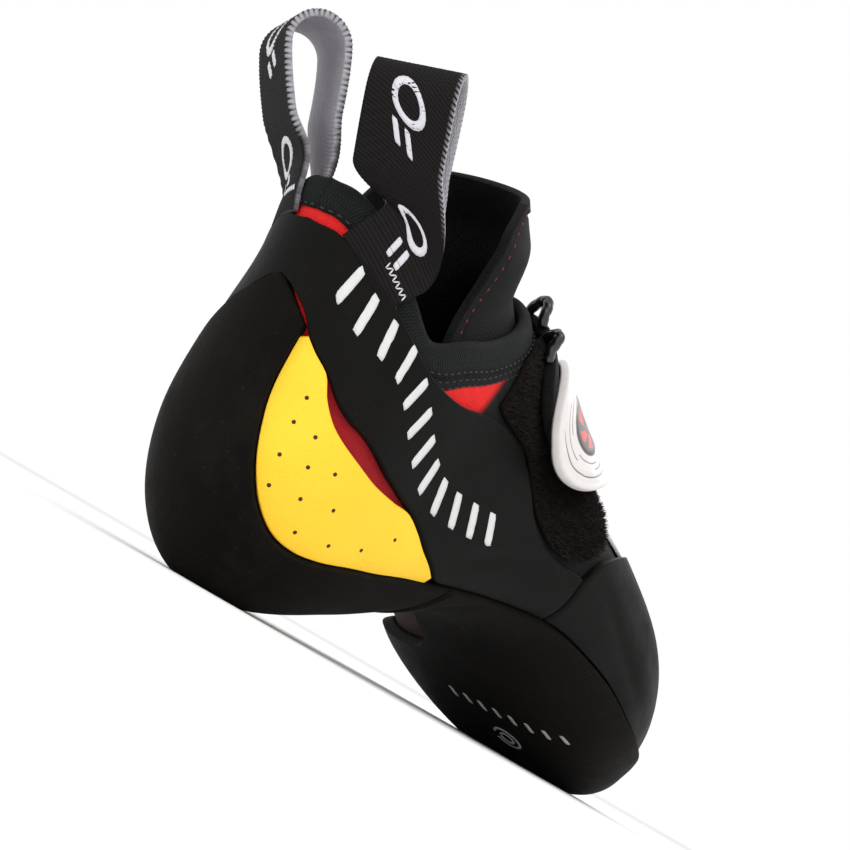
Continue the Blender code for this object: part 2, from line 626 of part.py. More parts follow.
def make_strap_badge():
    steps, sides = NETS["strap_badge"]
    rings = np.linspace(0.0, 1.0, steps + 1)[1:]
    angles = np.linspace(0, 2 * np.pi, sides + 1)[:-1]
    row, turn = BADGE_PLACE
    step = 0.05
    here, _ = form.frame(row, turn)
    along = np.linalg.norm(form.frame(row + step, turn)[0] - here) / step
    around = np.linalg.norm(form.frame(row, turn + step)[0] - here) / step
    radius = BADGE_DIAMETER / 2
    points = []
    for lift in (STRAP + GAP + BADGE, STRAP + GAP):
        points.append(form.at(row, turn, strap_bottom(turn) + lift))
        for ring in rings:
            r = row + ring * radius * np.cos(angles) / along
            t = turn + ring * radius * np.sin(angles) / around
            points.extend(form.at(r, t, strap_bottom(t) + lift))
    count = 1 + sides * steps
    faces = []
    for base in (0, count):
        for k in range(sides):
            n = (k + 1) % sides
            faces.append((base, base + 1 + k, base + 1 + n))
            for ring in range(steps - 1):
                a = base + 1 + ring * sides
                faces.append((a + k, a + sides + k, a + sides + n, a + n))
    rim = 1 + (steps - 1) * sides
    for k in range(sides):
        n = (k + 1) % sides
        faces.append((rim + k, rim + n, rim + n + count, rim + k + count))
    return add_mesh("strap_badge", np.array(points), faces, BADGE_FACE)


def make_keeper_loop(name):
    first, last = KEEPER_ENDS[name]
    knots, sides = NETS["keeper_loop"]
    share = np.linspace(0, 1, knots)
    turn = first + share * (last - first)
    edge = smooth(turn, STRAP_EDGES["turn"], STRAP_EDGES["rear_row"])
    step = 0.1
    rate = np.linalg.norm(form.frame(edge + step, turn)[0] - form.frame(edge, turn)[0], axis=1) / step
    back = smooth(share, KEEPER_ARCH["share"], KEEPER_ARCH["back"])
    rise = smooth(share, KEEPER_ARCH["share"], KEEPER_ARCH["rise"])
    height = strap_bottom(turn) + STRAP / 2 + rise
    points = form.at(edge + (GAP + KEEPER_CORD / 4) / rate + back, turn, height)
    curve = bpy.data.curves.new(name, "CURVE")
    curve.dimensions = "3D"
    curve.bevel_depth = KEEPER_CORD / 2
    curve.bevel_resolution = sides // 2 - 2
    curve.use_fill_caps = True
    spline = curve.splines.new("POLY")
    spline.points.add(len(points) - 1)
    for knot, point in zip(spline.points, points):
        knot.co = (*point, 1.0)
    loop = bpy.data.objects.new(name, curve)
    shoe.objects.link(loop)
    curve.materials.append(make_material(name, CORD))
    return loop


def make_tongue():
    row, turn = strip_net(TONGUE_EDGES, "medial_turn", "lateral_turn", "tongue")
    # sewn close under the upper in front, then low enough to pass the binding of the slot
    low = np.clip((row - TONGUE_SEWN) / (TONGUE_FREE - TONGUE_SEWN), 0, 1)
    under = GAP + low * (BINDING_WIDTH - WALL) / 2
    rim = np.maximum(smooth(turn, RIM["turn"], RIM["row"]), TONGUE_SWELL["first_row"])
    past = ease((row - rim - TONGUE_SWELL["past_rim"]) / TONGUE_SWELL["rows"])
    bottom = TONGUE_SWELL["height"] * past - (WALL + under + TONGUE)
    return patch("tongue", row, turn, bottom, TONGUE, BLACK_CLOTH)


def make_insole():
    row, turn = strip_net(INSOLE_EDGES, "lateral", "medial", "insole")
    bottom = -(WALL + GAP + HOLLOW_EASE + INSOLE)
    return patch("insole", row, turn, bottom, INSOLE, BLACK_CLOTH)


def rim_frame(turn):
    # the rim's middle, and the directions along it, out of the wall, and up past its edge
    turn = np.asarray(turn, float)
    row = smooth(np.mod(turn, 1.0), RIM["turn"], RIM["row"])
    step = 0.004
    ahead = smooth(np.mod(turn + step, 1.0), RIM["turn"], RIM["row"])
    behind = smooth(np.mod(turn - step, 1.0), RIM["turn"], RIM["row"])
    middle = form.at(row, turn, np.full(turn.shape, -WALL / 2))
    _, out = form.frame(row, turn)
    along = form.at(ahead, turn + step, np.full(turn.shape, -WALL / 2))
    along = along - form.at(behind, turn - step, np.full(turn.shape, -WALL / 2))
    along /= np.linalg.norm(along, axis=-1, keepdims=True)
    up = np.cross(along, out)
    up /= np.linalg.norm(up, axis=-1, keepdims=True)
    inward, _ = form.frame(row - 0.1, turn)
    outward, _ = form.frame(row, turn)
    if ((outward - inward) * up).sum() < 0:
        up = -up
    return middle, along, out, up


def make_collar_binding():
    turns = rim_lines()[:-1]
    middle, _, out, up = rim_frame(turns)
    rings = []
    for aside, share in BINDING_OUTLINE:
        rings.append(middle + out * aside * BINDING_WIDTH / 2 + up * (GAP + share * BINDING_RISE))
    net = np.array(rings)
    sides, steps = net.shape[:2]
    number = np.arange(sides * steps).reshape(sides, steps)
    faces = []
    for i in range(sides):
        for j in range(steps):
            m, n = (i + 1) % sides, (j + 1) % steps
            faces.append((number[i, j], number[m, j], number[m, n], number[i, n]))
    return add_mesh("collar_binding", net.reshape(-1, 3), faces, BLACK_CLOTH)


def loop_outline(steps):
    # how far out and how high the webbing's middle is: two legs, and half a circle on top of them;
    # the outer leg starts lower, beside the upper's outer face
    foot = BINDING_WIDTH / 2 + GAP + WEBBING / 2
    crown = LOOP_SPREAD / 2
    rise = np.linspace(0, 1, steps)[:-1]
    swing = np.linspace(0, np.pi / 2, steps)
    reach = np.r_[foot + (crown - foot) * ease(rise), crown * np.cos(swing)]
    height = np.r_[(LOOP_HEIGHT - crown) * rise, LOOP_HEIGHT - crown + crown * np.sin(swing)]
    return np.r_[foot, reach, -reach[-2::-1]], np.r_[-LOOP_ROOT, height, height[-2::-1]]


def make_pull_loop(name):
    # a strip of webbing that stands over the rim, its two ends on either side of the binding; its
    # feet follow the rim's bend and rise square to it, and its top is straight across
    root, lean = LOOPS[name]["turn"], np.array(LOOPS[name]["lean"])
    lean /= np.linalg.norm(lean)
    step = 0.01
    ends, _, _, _ = rim_frame(np.array([root - step, root + step]))
    rate = np.linalg.norm(ends[1] - ends[0]) / (2 * step)
    steps, strands_across = NETS["pull_loop"]
    widths = np.linspace(-0.5, 0.5, strands_across) * WEBBING_WIDTH
    feet, _, outs, ups = rim_frame(root + widths / rate)
    middle, along, out, _ = (v[0] for v in rim_frame(np.array([root])))
    wide = along - lean * (along @ lean)
    wide /= np.linalg.norm(wide)
    open_way = np.cross(wide, lean)
    if open_way @ out < 0:
        open_way = -open_way
    swing = np.radians(LOOPS[name]["swing"])
    wide, open_way = (wide * np.cos(swing) + open_way * np.sin(swing),
                      open_way * np.cos(swing) - wide * np.sin(swing))
    reach, height = loop_outline(steps)
    settle = ease((height - GAP - BINDING_RISE) / (LOOP_STRAIGHT * LOOP_HEIGHT))
    strands = []
    for width, foot, foot_out, foot_up in zip(widths, feet, outs, ups):
        bent = foot + np.outer(reach, foot_out) + np.outer(height, foot_up)
        flat = middle + wide * width + np.outer(reach, open_way) + np.outer(height, lean)
        strands.append(bent * (1 - settle[:, None]) + flat * settle[:, None])
    centre = np.array(strands)
    slope = np.gradient(centre, axis=1)
    aside = np.gradient(centre, axis=0)
    face = np.cross(slope, aside)
    face /= np.linalg.norm(face, axis=-1, keepdims=True)
    return shell(name, centre + face * WEBBING / 2, centre - face * WEBBING / 2, BLACK_CLOTH)


clear_scene()
shoe = bpy.data.collections.new("climbing_shoe")
bpy.context.scene.collection.children.link(shoe)

make_upper()
make_insole()
make_outsole()
make_heel_cup()
make_heel_band()
make_toe_rand()
for inlay_side in INLAY_TOPS:
    make_heel_inlay(inlay_side)
make_vamp_panel()
make_loop_pad()
make_strap()
make_strap_badge()
for keeper in KEEPER_ENDS:
    make_keeper_loop(keeper)
make_tongue()
make_collar_binding()
for loop_name in LOOPS:
    make_pull_loop(loop_name)
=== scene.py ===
# A right climbing shoe: rubber, cloth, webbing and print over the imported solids.
# Every piece is worked out from the same last as the solids are, on a finer net. Metres.
import math

import bmesh
import bpy
import numpy as np
from mathutils import Matrix, Vector
from mathutils.bvhtree import BVHTree


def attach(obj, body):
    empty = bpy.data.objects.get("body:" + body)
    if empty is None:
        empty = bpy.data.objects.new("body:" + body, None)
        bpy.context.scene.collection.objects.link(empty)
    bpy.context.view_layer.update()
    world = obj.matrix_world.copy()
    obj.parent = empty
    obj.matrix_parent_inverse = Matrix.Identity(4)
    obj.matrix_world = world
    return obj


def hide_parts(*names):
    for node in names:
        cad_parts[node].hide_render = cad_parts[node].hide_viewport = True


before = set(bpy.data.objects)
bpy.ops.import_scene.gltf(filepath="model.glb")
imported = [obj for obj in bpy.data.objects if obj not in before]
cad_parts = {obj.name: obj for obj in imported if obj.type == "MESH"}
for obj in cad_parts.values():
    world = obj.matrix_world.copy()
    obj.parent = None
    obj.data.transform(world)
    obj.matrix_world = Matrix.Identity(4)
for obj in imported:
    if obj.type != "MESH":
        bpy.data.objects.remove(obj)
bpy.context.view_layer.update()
print("frame loaded")

# The last

lastSizes = {
    "length": 0.240, "ballWidth": 0.096, "heelWidth": 0.061,
    "instepHeight": 0.077, "heelHeight": 0.089, "archHeight": 0.026,
    "skin": 0.0035,  # how far the upper's outer face lies inside the form
    "flat": 0.0014,  # worn off heel and forefoot, where the shoe stands
    "wall": 0.0020, "gap": 0.0005,  # the upper's cloth, and the air between two pieces
    "seam": 0.0002,  # between neighbours that lie side by side
}
gap = lastSizes["gap"]
wall = lastSizes["wall"]

sectionColumns = (
    "footX", "footZ", "ridgeX", "ridgeZ", "middle", "medial", "lateral", "level", "under", "over",
)

# shares of length, arch height, length, instep height, and of the ball width for the widths
foreSections = (
    (0.857, 0.44, 0.857, 0.162, 0.177, 0.005, 0.005, 0.50, 2.0, 2.0),
    (0.846, 0.19, 0.850, 0.273, 0.177, 0.115, 0.125, 0.50, 2.2, 2.0),
    (0.817, 0.04, 0.825, 0.364, 0.177, 0.198, 0.219, 0.45, 2.6, 2.1),
    (0.758, 0.00, 0.771, 0.505, 0.167, 0.302, 0.344, 0.43, 3.0, 2.3),
    (0.671, 0.12, 0.683, 0.675, 0.135, 0.417, 0.463, 0.42, 2.9, 2.4),
    (0.575, 0.38, 0.588, 0.815, 0.115, 0.469, 0.515, 0.41, 3.0, 2.5),
    (0.467, 0.73, 0.492, 0.930, 0.094, 0.427, 0.484, 0.42, 2.9, 2.5),
    (0.350, 1.00, 0.396, 1.025, 0.073, 0.396, 0.438, 0.43, 2.7, 2.4),
    (0.225, 0.81, 0.325, 1.130, 0.042, 0.344, 0.375, 0.42, 2.6, 2.2),
)
# shares of length, heel height, length, heel height, and of the heel width for the widths
heelSections = (
    (0.100, 0.079, 0.254, 1.079, 0.033, 0.508, 0.525, 0.40, 2.3, 2.3),
    (0.000, 0.000, 0.200, 1.169, 0.016, 0.508, 0.492, 0.36, 2.3, 2.3),
    (-0.067, 0.079, 0.163, 1.236, 0.016, 0.508, 0.492, 0.34, 2.2, 2.3),
    (-0.113, 0.270, 0.138, 1.287, 0.016, 0.475, 0.475, 0.36, 2.2, 2.3),
    (-0.127, 0.517, 0.117, 1.326, 0.016, 0.451, 0.434, 0.42, 2.1, 2.3),
    (-0.133, 0.764, 0.096, 1.360, 0.016, 0.418, 0.410, 0.48, 2.0, 2.2),
    (-0.150, 1.011, 0.075, 1.393, 0.016, 0.393, 0.385, 0.50, 2.0, 2.2),
)
lastRow = float(len(foreSections) + len(heelSections) - 1)


def smooth(x, knots, values):
    # a curve through a table's rows
    knots = np.asarray(knots, float)
    values = np.asarray(values, float)
    step = np.diff(knots)
    rise = np.diff(values) / step
    slope = np.empty_like(values)
    slope[1:-1] = (rise[:-1] * step[1:] + rise[1:] * step[:-1]) / (step[1:] + step[:-1])
    slope[0] = rise[0]
    slope[-1] = rise[-1]
    x = np.clip(np.asarray(x, float), knots[0], knots[-1])
    k = np.clip(np.searchsorted(knots, x, side="right") - 1, 0, len(knots) - 2)
    t = (x - knots[k]) / step[k]
    a = values[k] * (1 + 2 * t) * (1 - t) ** 2 + values[k + 1] * t * t * (3 - 2 * t)
    return a + step[k] * (slope[k] * t * (1 - t) ** 2 + slope[k + 1] * t * t * (t - 1))


def ease(x):
    x = np.clip(x, 0.0, 1.0)
    return x * x * (3 - 2 * x)


class LastForm:
    # the last's surface: a place is a row along the sections and a turn, the share of the way
    # round: 0 under the foot and up the heel's back, 0.25 medial, 0.5 on top, 0.75 lateral
    rows = 601
    turns = 480

    def __init__(self):
        fore = np.array(foreSections)
        heel = np.array(heelSections)
        sizes = lastSizes
        length = sizes["length"]
        fore[:, :4] *= (length, sizes["archHeight"], length, sizes["instepHeight"])
        heel[:, :4] *= (length, sizes["heelHeight"], length, sizes["heelHeight"])
        fore[:, 4:7] *= sizes["ballWidth"]
        heel[:, 4:7] *= sizes["heelWidth"]
        knots = np.arange(lastRow + 1)
        line = np.linspace(0, lastRow, self.rows)
        table = {
            name: smooth(line, knots, column)
            for name, column in zip(sectionColumns, np.vstack([fore, heel]).T)
        }
        self.points = np.array([
            self.section({name: column[i] for name, column in table.items()})
            for i in range(self.rows)
        ])
        along = np.gradient(self.points, axis=0)
        around = np.roll(self.points, -1, axis=1) - np.roll(self.points, 1, axis=1)
        normals = np.cross(around, along)
        normals /= np.linalg.norm(normals, axis=2, keepdims=True) + 1e-12
        outward = self.points - self.points.mean(axis=1, keepdims=True)
        self.normals = normals if (normals * outward).sum() > 0 else -normals

    def section(self, size):
        swing = np.linspace(0, np.pi, 361)
        foot = np.array([size["footX"], size["footZ"]])
        line = np.array([size["ridgeX"], size["ridgeZ"]]) - foot
        lift = -np.cos(swing)
        power = 2 / np.where(lift < 0, size["under"], size["over"])
        reach = np.abs(np.sin(swing)) ** power
        bent = np.sign(lift) * np.abs(lift) ** power
        level = size["level"]
        share = np.where(lift < 0, level * (1 + bent), level + (1 - level) * bent)
        sides = []
        for half in (size["medial"], -size["lateral"]):
            side = np.stack([foot[0] + line[0] * share, size["middle"] + half * reach,
                             foot[1] + line[1] * share], axis=1)
            walked = np.r_[0, np.cumsum(np.linalg.norm(np.diff(side, axis=0), axis=1))]
            stops = np.linspace(0, walked[-1], self.turns // 2 + 1)
            sides.append(np.stack([np.interp(stops, walked, side[:, k]) for k in range(3)], axis=1))
        return np.vstack([sides[0], sides[1][-2:0:-1]])

    def frame(self, row, turn):
        # point and outward direction at a place
        row, turn = np.broadcast_arrays(np.asarray(row, float), np.asarray(turn, float))
        i = np.clip(row / lastRow, 0, 1) * (self.rows - 1)
        j = np.mod(turn, 1.0) * self.turns
        lowI = np.minimum(i.astype(int), self.rows - 2)
        lowJ = np.floor(j).astype(int) % self.turns
        nextJ = (lowJ + 1) % self.turns
        f = (i - lowI)[..., None]
        g = (j - np.floor(j))[..., None]

        def blend(net):
            near = net[lowI, lowJ] * (1 - g) + net[lowI, nextJ] * g
            far = net[lowI + 1, lowJ] * (1 - g) + net[lowI + 1, nextJ] * g
            return near * (1 - f) + far * f

        direction = blend(self.normals)
        direction = direction / np.linalg.norm(direction, axis=-1, keepdims=True)
        return blend(self.points), direction

    def at(self, row, turn, height):
        # a point at a height over the upper's outer face, and never below the floor
        point, direction = self.frame(row, turn)
        point = point + direction * (np.asarray(height, float)[..., None] - lastSizes["skin"])
        point[..., 2] = np.maximum(point[..., 2] - lastSizes["flat"], 0.0)
        return point


form = LastForm()
print("last worked out")

# Shader helpers


class Value:
    # a number that varies over a surface: the usual operators add Math nodes
    def __init__(self, look, socket):
        self.look = look
        self.socket = socket

    def apply(self, operation, *others):
        node = self.look.node("ShaderNodeMath", {"operation": operation}, self, *others)
        return Value(self.look, node.outputs[0])

    def __add__(self, other):
        return self.apply("ADD", other)

    def __sub__(self, other):
        return self.apply("SUBTRACT", other)

    def __rsub__(self, other):
        return self.apply("MULTIPLY_ADD", -1.0, other)

    def __mul__(self, other):
        return self.apply("MULTIPLY", other)

    def __truediv__(self, other):
        return self.apply("DIVIDE", other)

    __radd__ = __add__
    __rmul__ = __mul__

    def higher(self, other):
        return self.apply("MAXIMUM", other)

    def wave(self):
        # 0 to 1 and back once for each whole number
        return (self * (2 * math.pi)).apply("COSINE") * -0.5 + 0.5

    def between(self, low, high):
        # 0 at low, 1 at high, soft in between; low may be the greater
        settings = {"interpolation_type": "SMOOTHSTEP"}
        node = self.look.node("ShaderNodeMapRange", settings, self, low, high)
        return Value(self.look, node.outputs[0])


class Look:
    # one material and its nodes
    def __init__(self, name, slot, **constants):
        self.slot = slot
        self.material = bpy.data.materials.new(name)
        self.material.use_nodes = True
        self.tree = self.material.node_tree
        self.shader = self.tree.nodes["Principled BSDF"]
        for key, constant in constants.items():
            socket = self.shader.inputs[key.replace("_", " ")]
            socket.default_value = (*constant, 1.0) if isinstance(constant, tuple) else constant
        self.place = None

    def feed(self, socket, item):
        if isinstance(item, Value):
            self.tree.links.new(item.socket, socket)
        elif isinstance(item, bpy.types.NodeSocket):
            self.tree.links.new(item, socket)
        elif isinstance(item, tuple) and socket.type == "RGBA":
            socket.default_value = (*item, 1.0)
        else:
            socket.default_value = item

    def node(self, kind, settings=None, *items, **named):
        node = self.tree.nodes.new(kind)
        for key, setting in (settings or {}).items():
            setattr(node, key, setting)
        for socket, item in zip(node.inputs, items):
            if item is not None:
                self.feed(socket, item)
        for key, item in named.items():
            self.feed(node.inputs[key.replace("_", " ")], item)
        return node

    def objectPlace(self):
        if self.place is None:
            self.place = self.node("ShaderNodeTexCoord").outputs["Object"]
        return self.place

    def noise(self, scale, detail=2.0, roughness=0.5):
        node = self.node("ShaderNodeTexNoise", None, self.objectPlace(),
                         Scale=scale, Detail=detail, Roughness=roughness)
        return Value(self, node.outputs["Fac"])

    def cells(self, scale):
        node = self.node("ShaderNodeTexVoronoi", None, self.objectPlace(), Scale=scale)
        return Value(self, node.outputs["Distance"])

    def attribute(self, name):
        node = self.node("ShaderNodeAttribute", {"attribute_name": name})
        return Value(self, node.outputs["Fac"])

    def map(self, name):
        # the two numbers of a UV map
        source = self.node("ShaderNodeUVMap", {"uv_map": name}).outputs[0]
        parts = self.node("ShaderNodeSeparateXYZ", None, source)
        return Value(self, parts.outputs[0]), Value(self, parts.outputs[1])

    def mix(self, share, first, second):
        node = self.node("ShaderNodeMix", {"data_type": "RGBA"})
        self.feed(node.inputs["Factor"], share)
        self.feed(node.inputs[6], first)
        self.feed(node.inputs[7], second)
        return node.outputs[2]

    def bump(self, height, distance):
        node = self.node("ShaderNodeBump", None, Strength=1.0, Distance=distance, Height=height)
        self.feed(self.shader.inputs["Normal"], node.outputs[0])

    def colour(self, item):
        self.feed(self.shader.inputs["Base Color"], item)

    def roughness(self, item):
        self.feed(self.shader.inputs["Roughness"], item)


# Mesh helpers

edgeShares = (0.0, 0.08, 0.25, 0.55, 1.0)  # of the radius, where the lines beside a border lie


def inset(row, turn, distance):
    # draws a net's border in by a distance, so that its neighbour can lie beside it
    for flip in (False, True):
        for last in (False, True):
            r, t = (row.T, turn.T) if flip else (row, turn)
            edge, inner = (-1, -2) if last else (0, 1)
            there, _ = form.frame(r[inner], t[inner])
            here, _ = form.frame(r[edge], t[edge])
            share = distance / np.maximum(np.linalg.norm(there - here, axis=-1), 2 * distance)
            r[edge] += (r[inner] - r[edge]) * share
            t[edge] += (t[inner] - t[edge]) * share
    return row, turn


def softEdges(row, turn, radius):
    # adds lines beside each border, and says how far in each point is, as a share of the radius
    depth = np.ones(row.shape)
    nets = [row, turn, depth]
    for flip in (False, True):
        for last in (False, True):
            if flip:
                nets = [net.T for net in nets]
            if last:
                nets = [net[::-1] for net in nets]
            r, t, d = nets
            here, _ = form.frame(r[0], t[0])
            there, _ = form.frame(r[1], t[1])
            width = np.maximum(np.linalg.norm(there - here, axis=1), 1e-6)
            shares = [np.minimum(share * radius / width, share * 0.9) for share in edgeShares]
            r = np.vstack([r[0] + (r[1] - r[0]) * f for f in shares] + [r[1:]])
            t = np.vstack([t[0] + (t[1] - t[0]) * f for f in shares] + [t[1:]])
            d = np.vstack([np.minimum(d[0], share) for share in edgeShares] + [d[1:]])
            nets = [r, t, d]
            if last:
                nets = [net[::-1] for net in nets]
            if flip:
                nets = [net.T for net in nets]
    return nets


def addMap(mesh, name, values):
    # a UV map from one pair of numbers for each point
    layer = mesh.uv_layers.new(name=name)
    corner = np.zeros(len(mesh.loops), np.int32)
    mesh.loops.foreach_get("vertex_index", corner)
    layer.data.foreach_set("uv", np.asarray(values, np.float32)[corner].ravel())


def addNumber(mesh, name, values):
    layer = mesh.attributes.new(name, "FLOAT", "POINT")
    layer.data.foreach_set("value", np.asarray(values, np.float32))


def link(piece):
    bpy.context.scene.collection.objects.link(piece)
    return piece


def unit(vectors):
    return vectors / np.linalg.norm(vectors, axis=-1, keepdims=True)


def makeObject(name, points, faces, look, maps=None, numbers=None, turn=True):
    mesh = bpy.data.meshes.new(name)
    mesh.from_pydata(np.asarray(points).tolist(), [], faces)
    if turn:
        net = bmesh.new()
        net.from_mesh(mesh)
        bmesh.ops.recalc_face_normals(net, faces=net.faces)
        net.to_mesh(mesh)
        net.free()
    for key, values in (maps or {}).items():
        addMap(mesh, key, values)
    for key, values in (numbers or {}).items():
        addNumber(mesh, key, values)
    mesh.shade_smooth()
    mesh.materials.append(look.material)
    return link(bpy.data.objects.new(name, mesh))


def keep(piece, node=None):
    # the piece rides on the shoe's one body and may stand for a node
    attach(piece, "root")
    if node:
        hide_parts(node)
    return piece


def gridFaces(rows, columns, start=0, ring=False):
    number = np.arange(rows * columns).reshape(rows, columns) + start
    if ring:
        number = np.hstack([number, number[:, :1]])
    a, b = number[:-1, :-1], number[1:, :-1]
    c, d = number[1:, 1:], number[:-1, 1:]
    return np.stack([a, b, c, d], axis=-1).reshape(-1, 4), number


def walked(net):
    # distance walked along each line of a net of points
    step = np.linalg.norm(np.diff(net, axis=0), axis=-1)
    return np.vstack([np.zeros(net.shape[1]), np.cumsum(step, axis=0)])


def shellFaces(rows, columns, start=0):
    # faces of two nets, the second below the first, closed along their border
    count = rows * columns
    top, number = gridFaces(rows, columns, start)
    faces = top.tolist() + (top[:, ::-1] + count).tolist()
    border = list(number[0, :]) + list(number[1:, -1])
    border += list(number[-1, -2::-1]) + list(number[-2:0:-1, 0])
    for a, b in zip(border, border[1:] + border[:1]):
        faces.append((int(a), int(b), int(b + count), int(a + count)))
    return faces


def closeShell(name, outer, inner, look, lay, figures):
    # a closed piece between two nets that match; its map and numbers are given for one net
    count = outer.shape[0] * outer.shape[1]
    points = np.vstack([outer.reshape(-1, 3), inner.reshape(-1, 3)])
    maps = {"lay": np.vstack([lay.reshape(-1, 2)] * 2)}
    numbers = {key: np.r_[v.ravel(), v.ravel()] for key, v in figures.items()}
    numbers["under"] = np.r_[np.zeros(count), np.ones(count)]
    return makeObject(name, points, shellFaces(*outer.shape[:2]), look, maps, numbers)


def overlay(name, row, turn, look, thickness, bottom=gap, radius=0.0009, blunt=0.25,
            relief=None, node=None):
    # a piece laid on the last in place of a node: flat below, rolled over at its border
    row, turn = inset(np.array(row), np.array(turn), lastSizes["seam"] / 2)
    row, turn, depth = softEdges(row, turn, radius)
    bottom = bottom(row, turn) if callable(bottom) else np.full(row.shape, bottom)
    surface = form.at(row, turn, bottom + thickness)
    along = walked(surface)
    across = walked(surface.transpose(1, 0, 2)).T
    where = {
        "row": row, "turn": turn,
        "end": along[-1] - along, "low": across, "high": across[:, -1:] - across,
    }
    full = thickness + (relief(where) if relief else 0.0)
    height = full * (blunt + (1 - blunt) * np.sqrt(1 - (1 - depth) ** 2))
    inner = form.at(row, turn, bottom)
    outer = form.at(row, turn, bottom + height)
    lay = np.stack([along, across], axis=-1)
    return keep(closeShell(name, outer, inner, look, lay, {"edge": depth}), node)


def across(low, high, count):
    share = np.linspace(0, 1, count)
    return low[:, None] + (high - low)[:, None] * share[None, :]


def stripNet(table, low, high, steps, count):
    line = np.linspace(table["row"][0], table["row"][-1], steps)
    lowTurn = smooth(line, table["row"], table[low])
    highTurn = smooth(line, table["row"], table[high])
    return np.repeat(line[:, None], count, axis=1), across(lowTurn, highTurn, count)


def trough(where, path, width, depth):
    # a soft crease along a path of places, below the surface where depth is positive
    rows, turns = (np.array(v) for v in zip(*path))
    knots = range(len(path))
    share = np.linspace(0, len(path) - 1, 12 * len(path))
    line, _ = form.frame(np.interp(share, knots, rows), np.interp(share, knots, turns))
    near, _ = form.frame(where["row"], where["turn"])
    away = np.full(near.shape[:2], 1.0)
    nearest = np.zeros(near.shape[:2])
    for k, knot in enumerate(line):
        distance = np.linalg.norm(near - knot, axis=-1)
        closer = distance < away
        away[closer] = distance[closer]
        nearest[closer] = k / (len(line) - 1)
    fade = np.sin(np.pi * np.clip(nearest * 0.9 + 0.05, 0, 1)) ** 0.7
    return -depth * fade * np.exp(-((away / width) ** 2))


def groove(away, width, depth):
    return depth * np.exp(-((away / width) ** 2))


def creased(creases):
    # relief with all the creases of a table: path, width and depth
    return lambda where: sum(trough(where, *crease) for crease in creases)


# Nodes that scatter small things


pile = {
    "seeds": {"spread": 7, "lean": 11, "size": 5},
    "splay": 0.75, "sizes": (0.6, 1.3), "tip": 0.25,  # leaning off the normal, scale, and taper
}


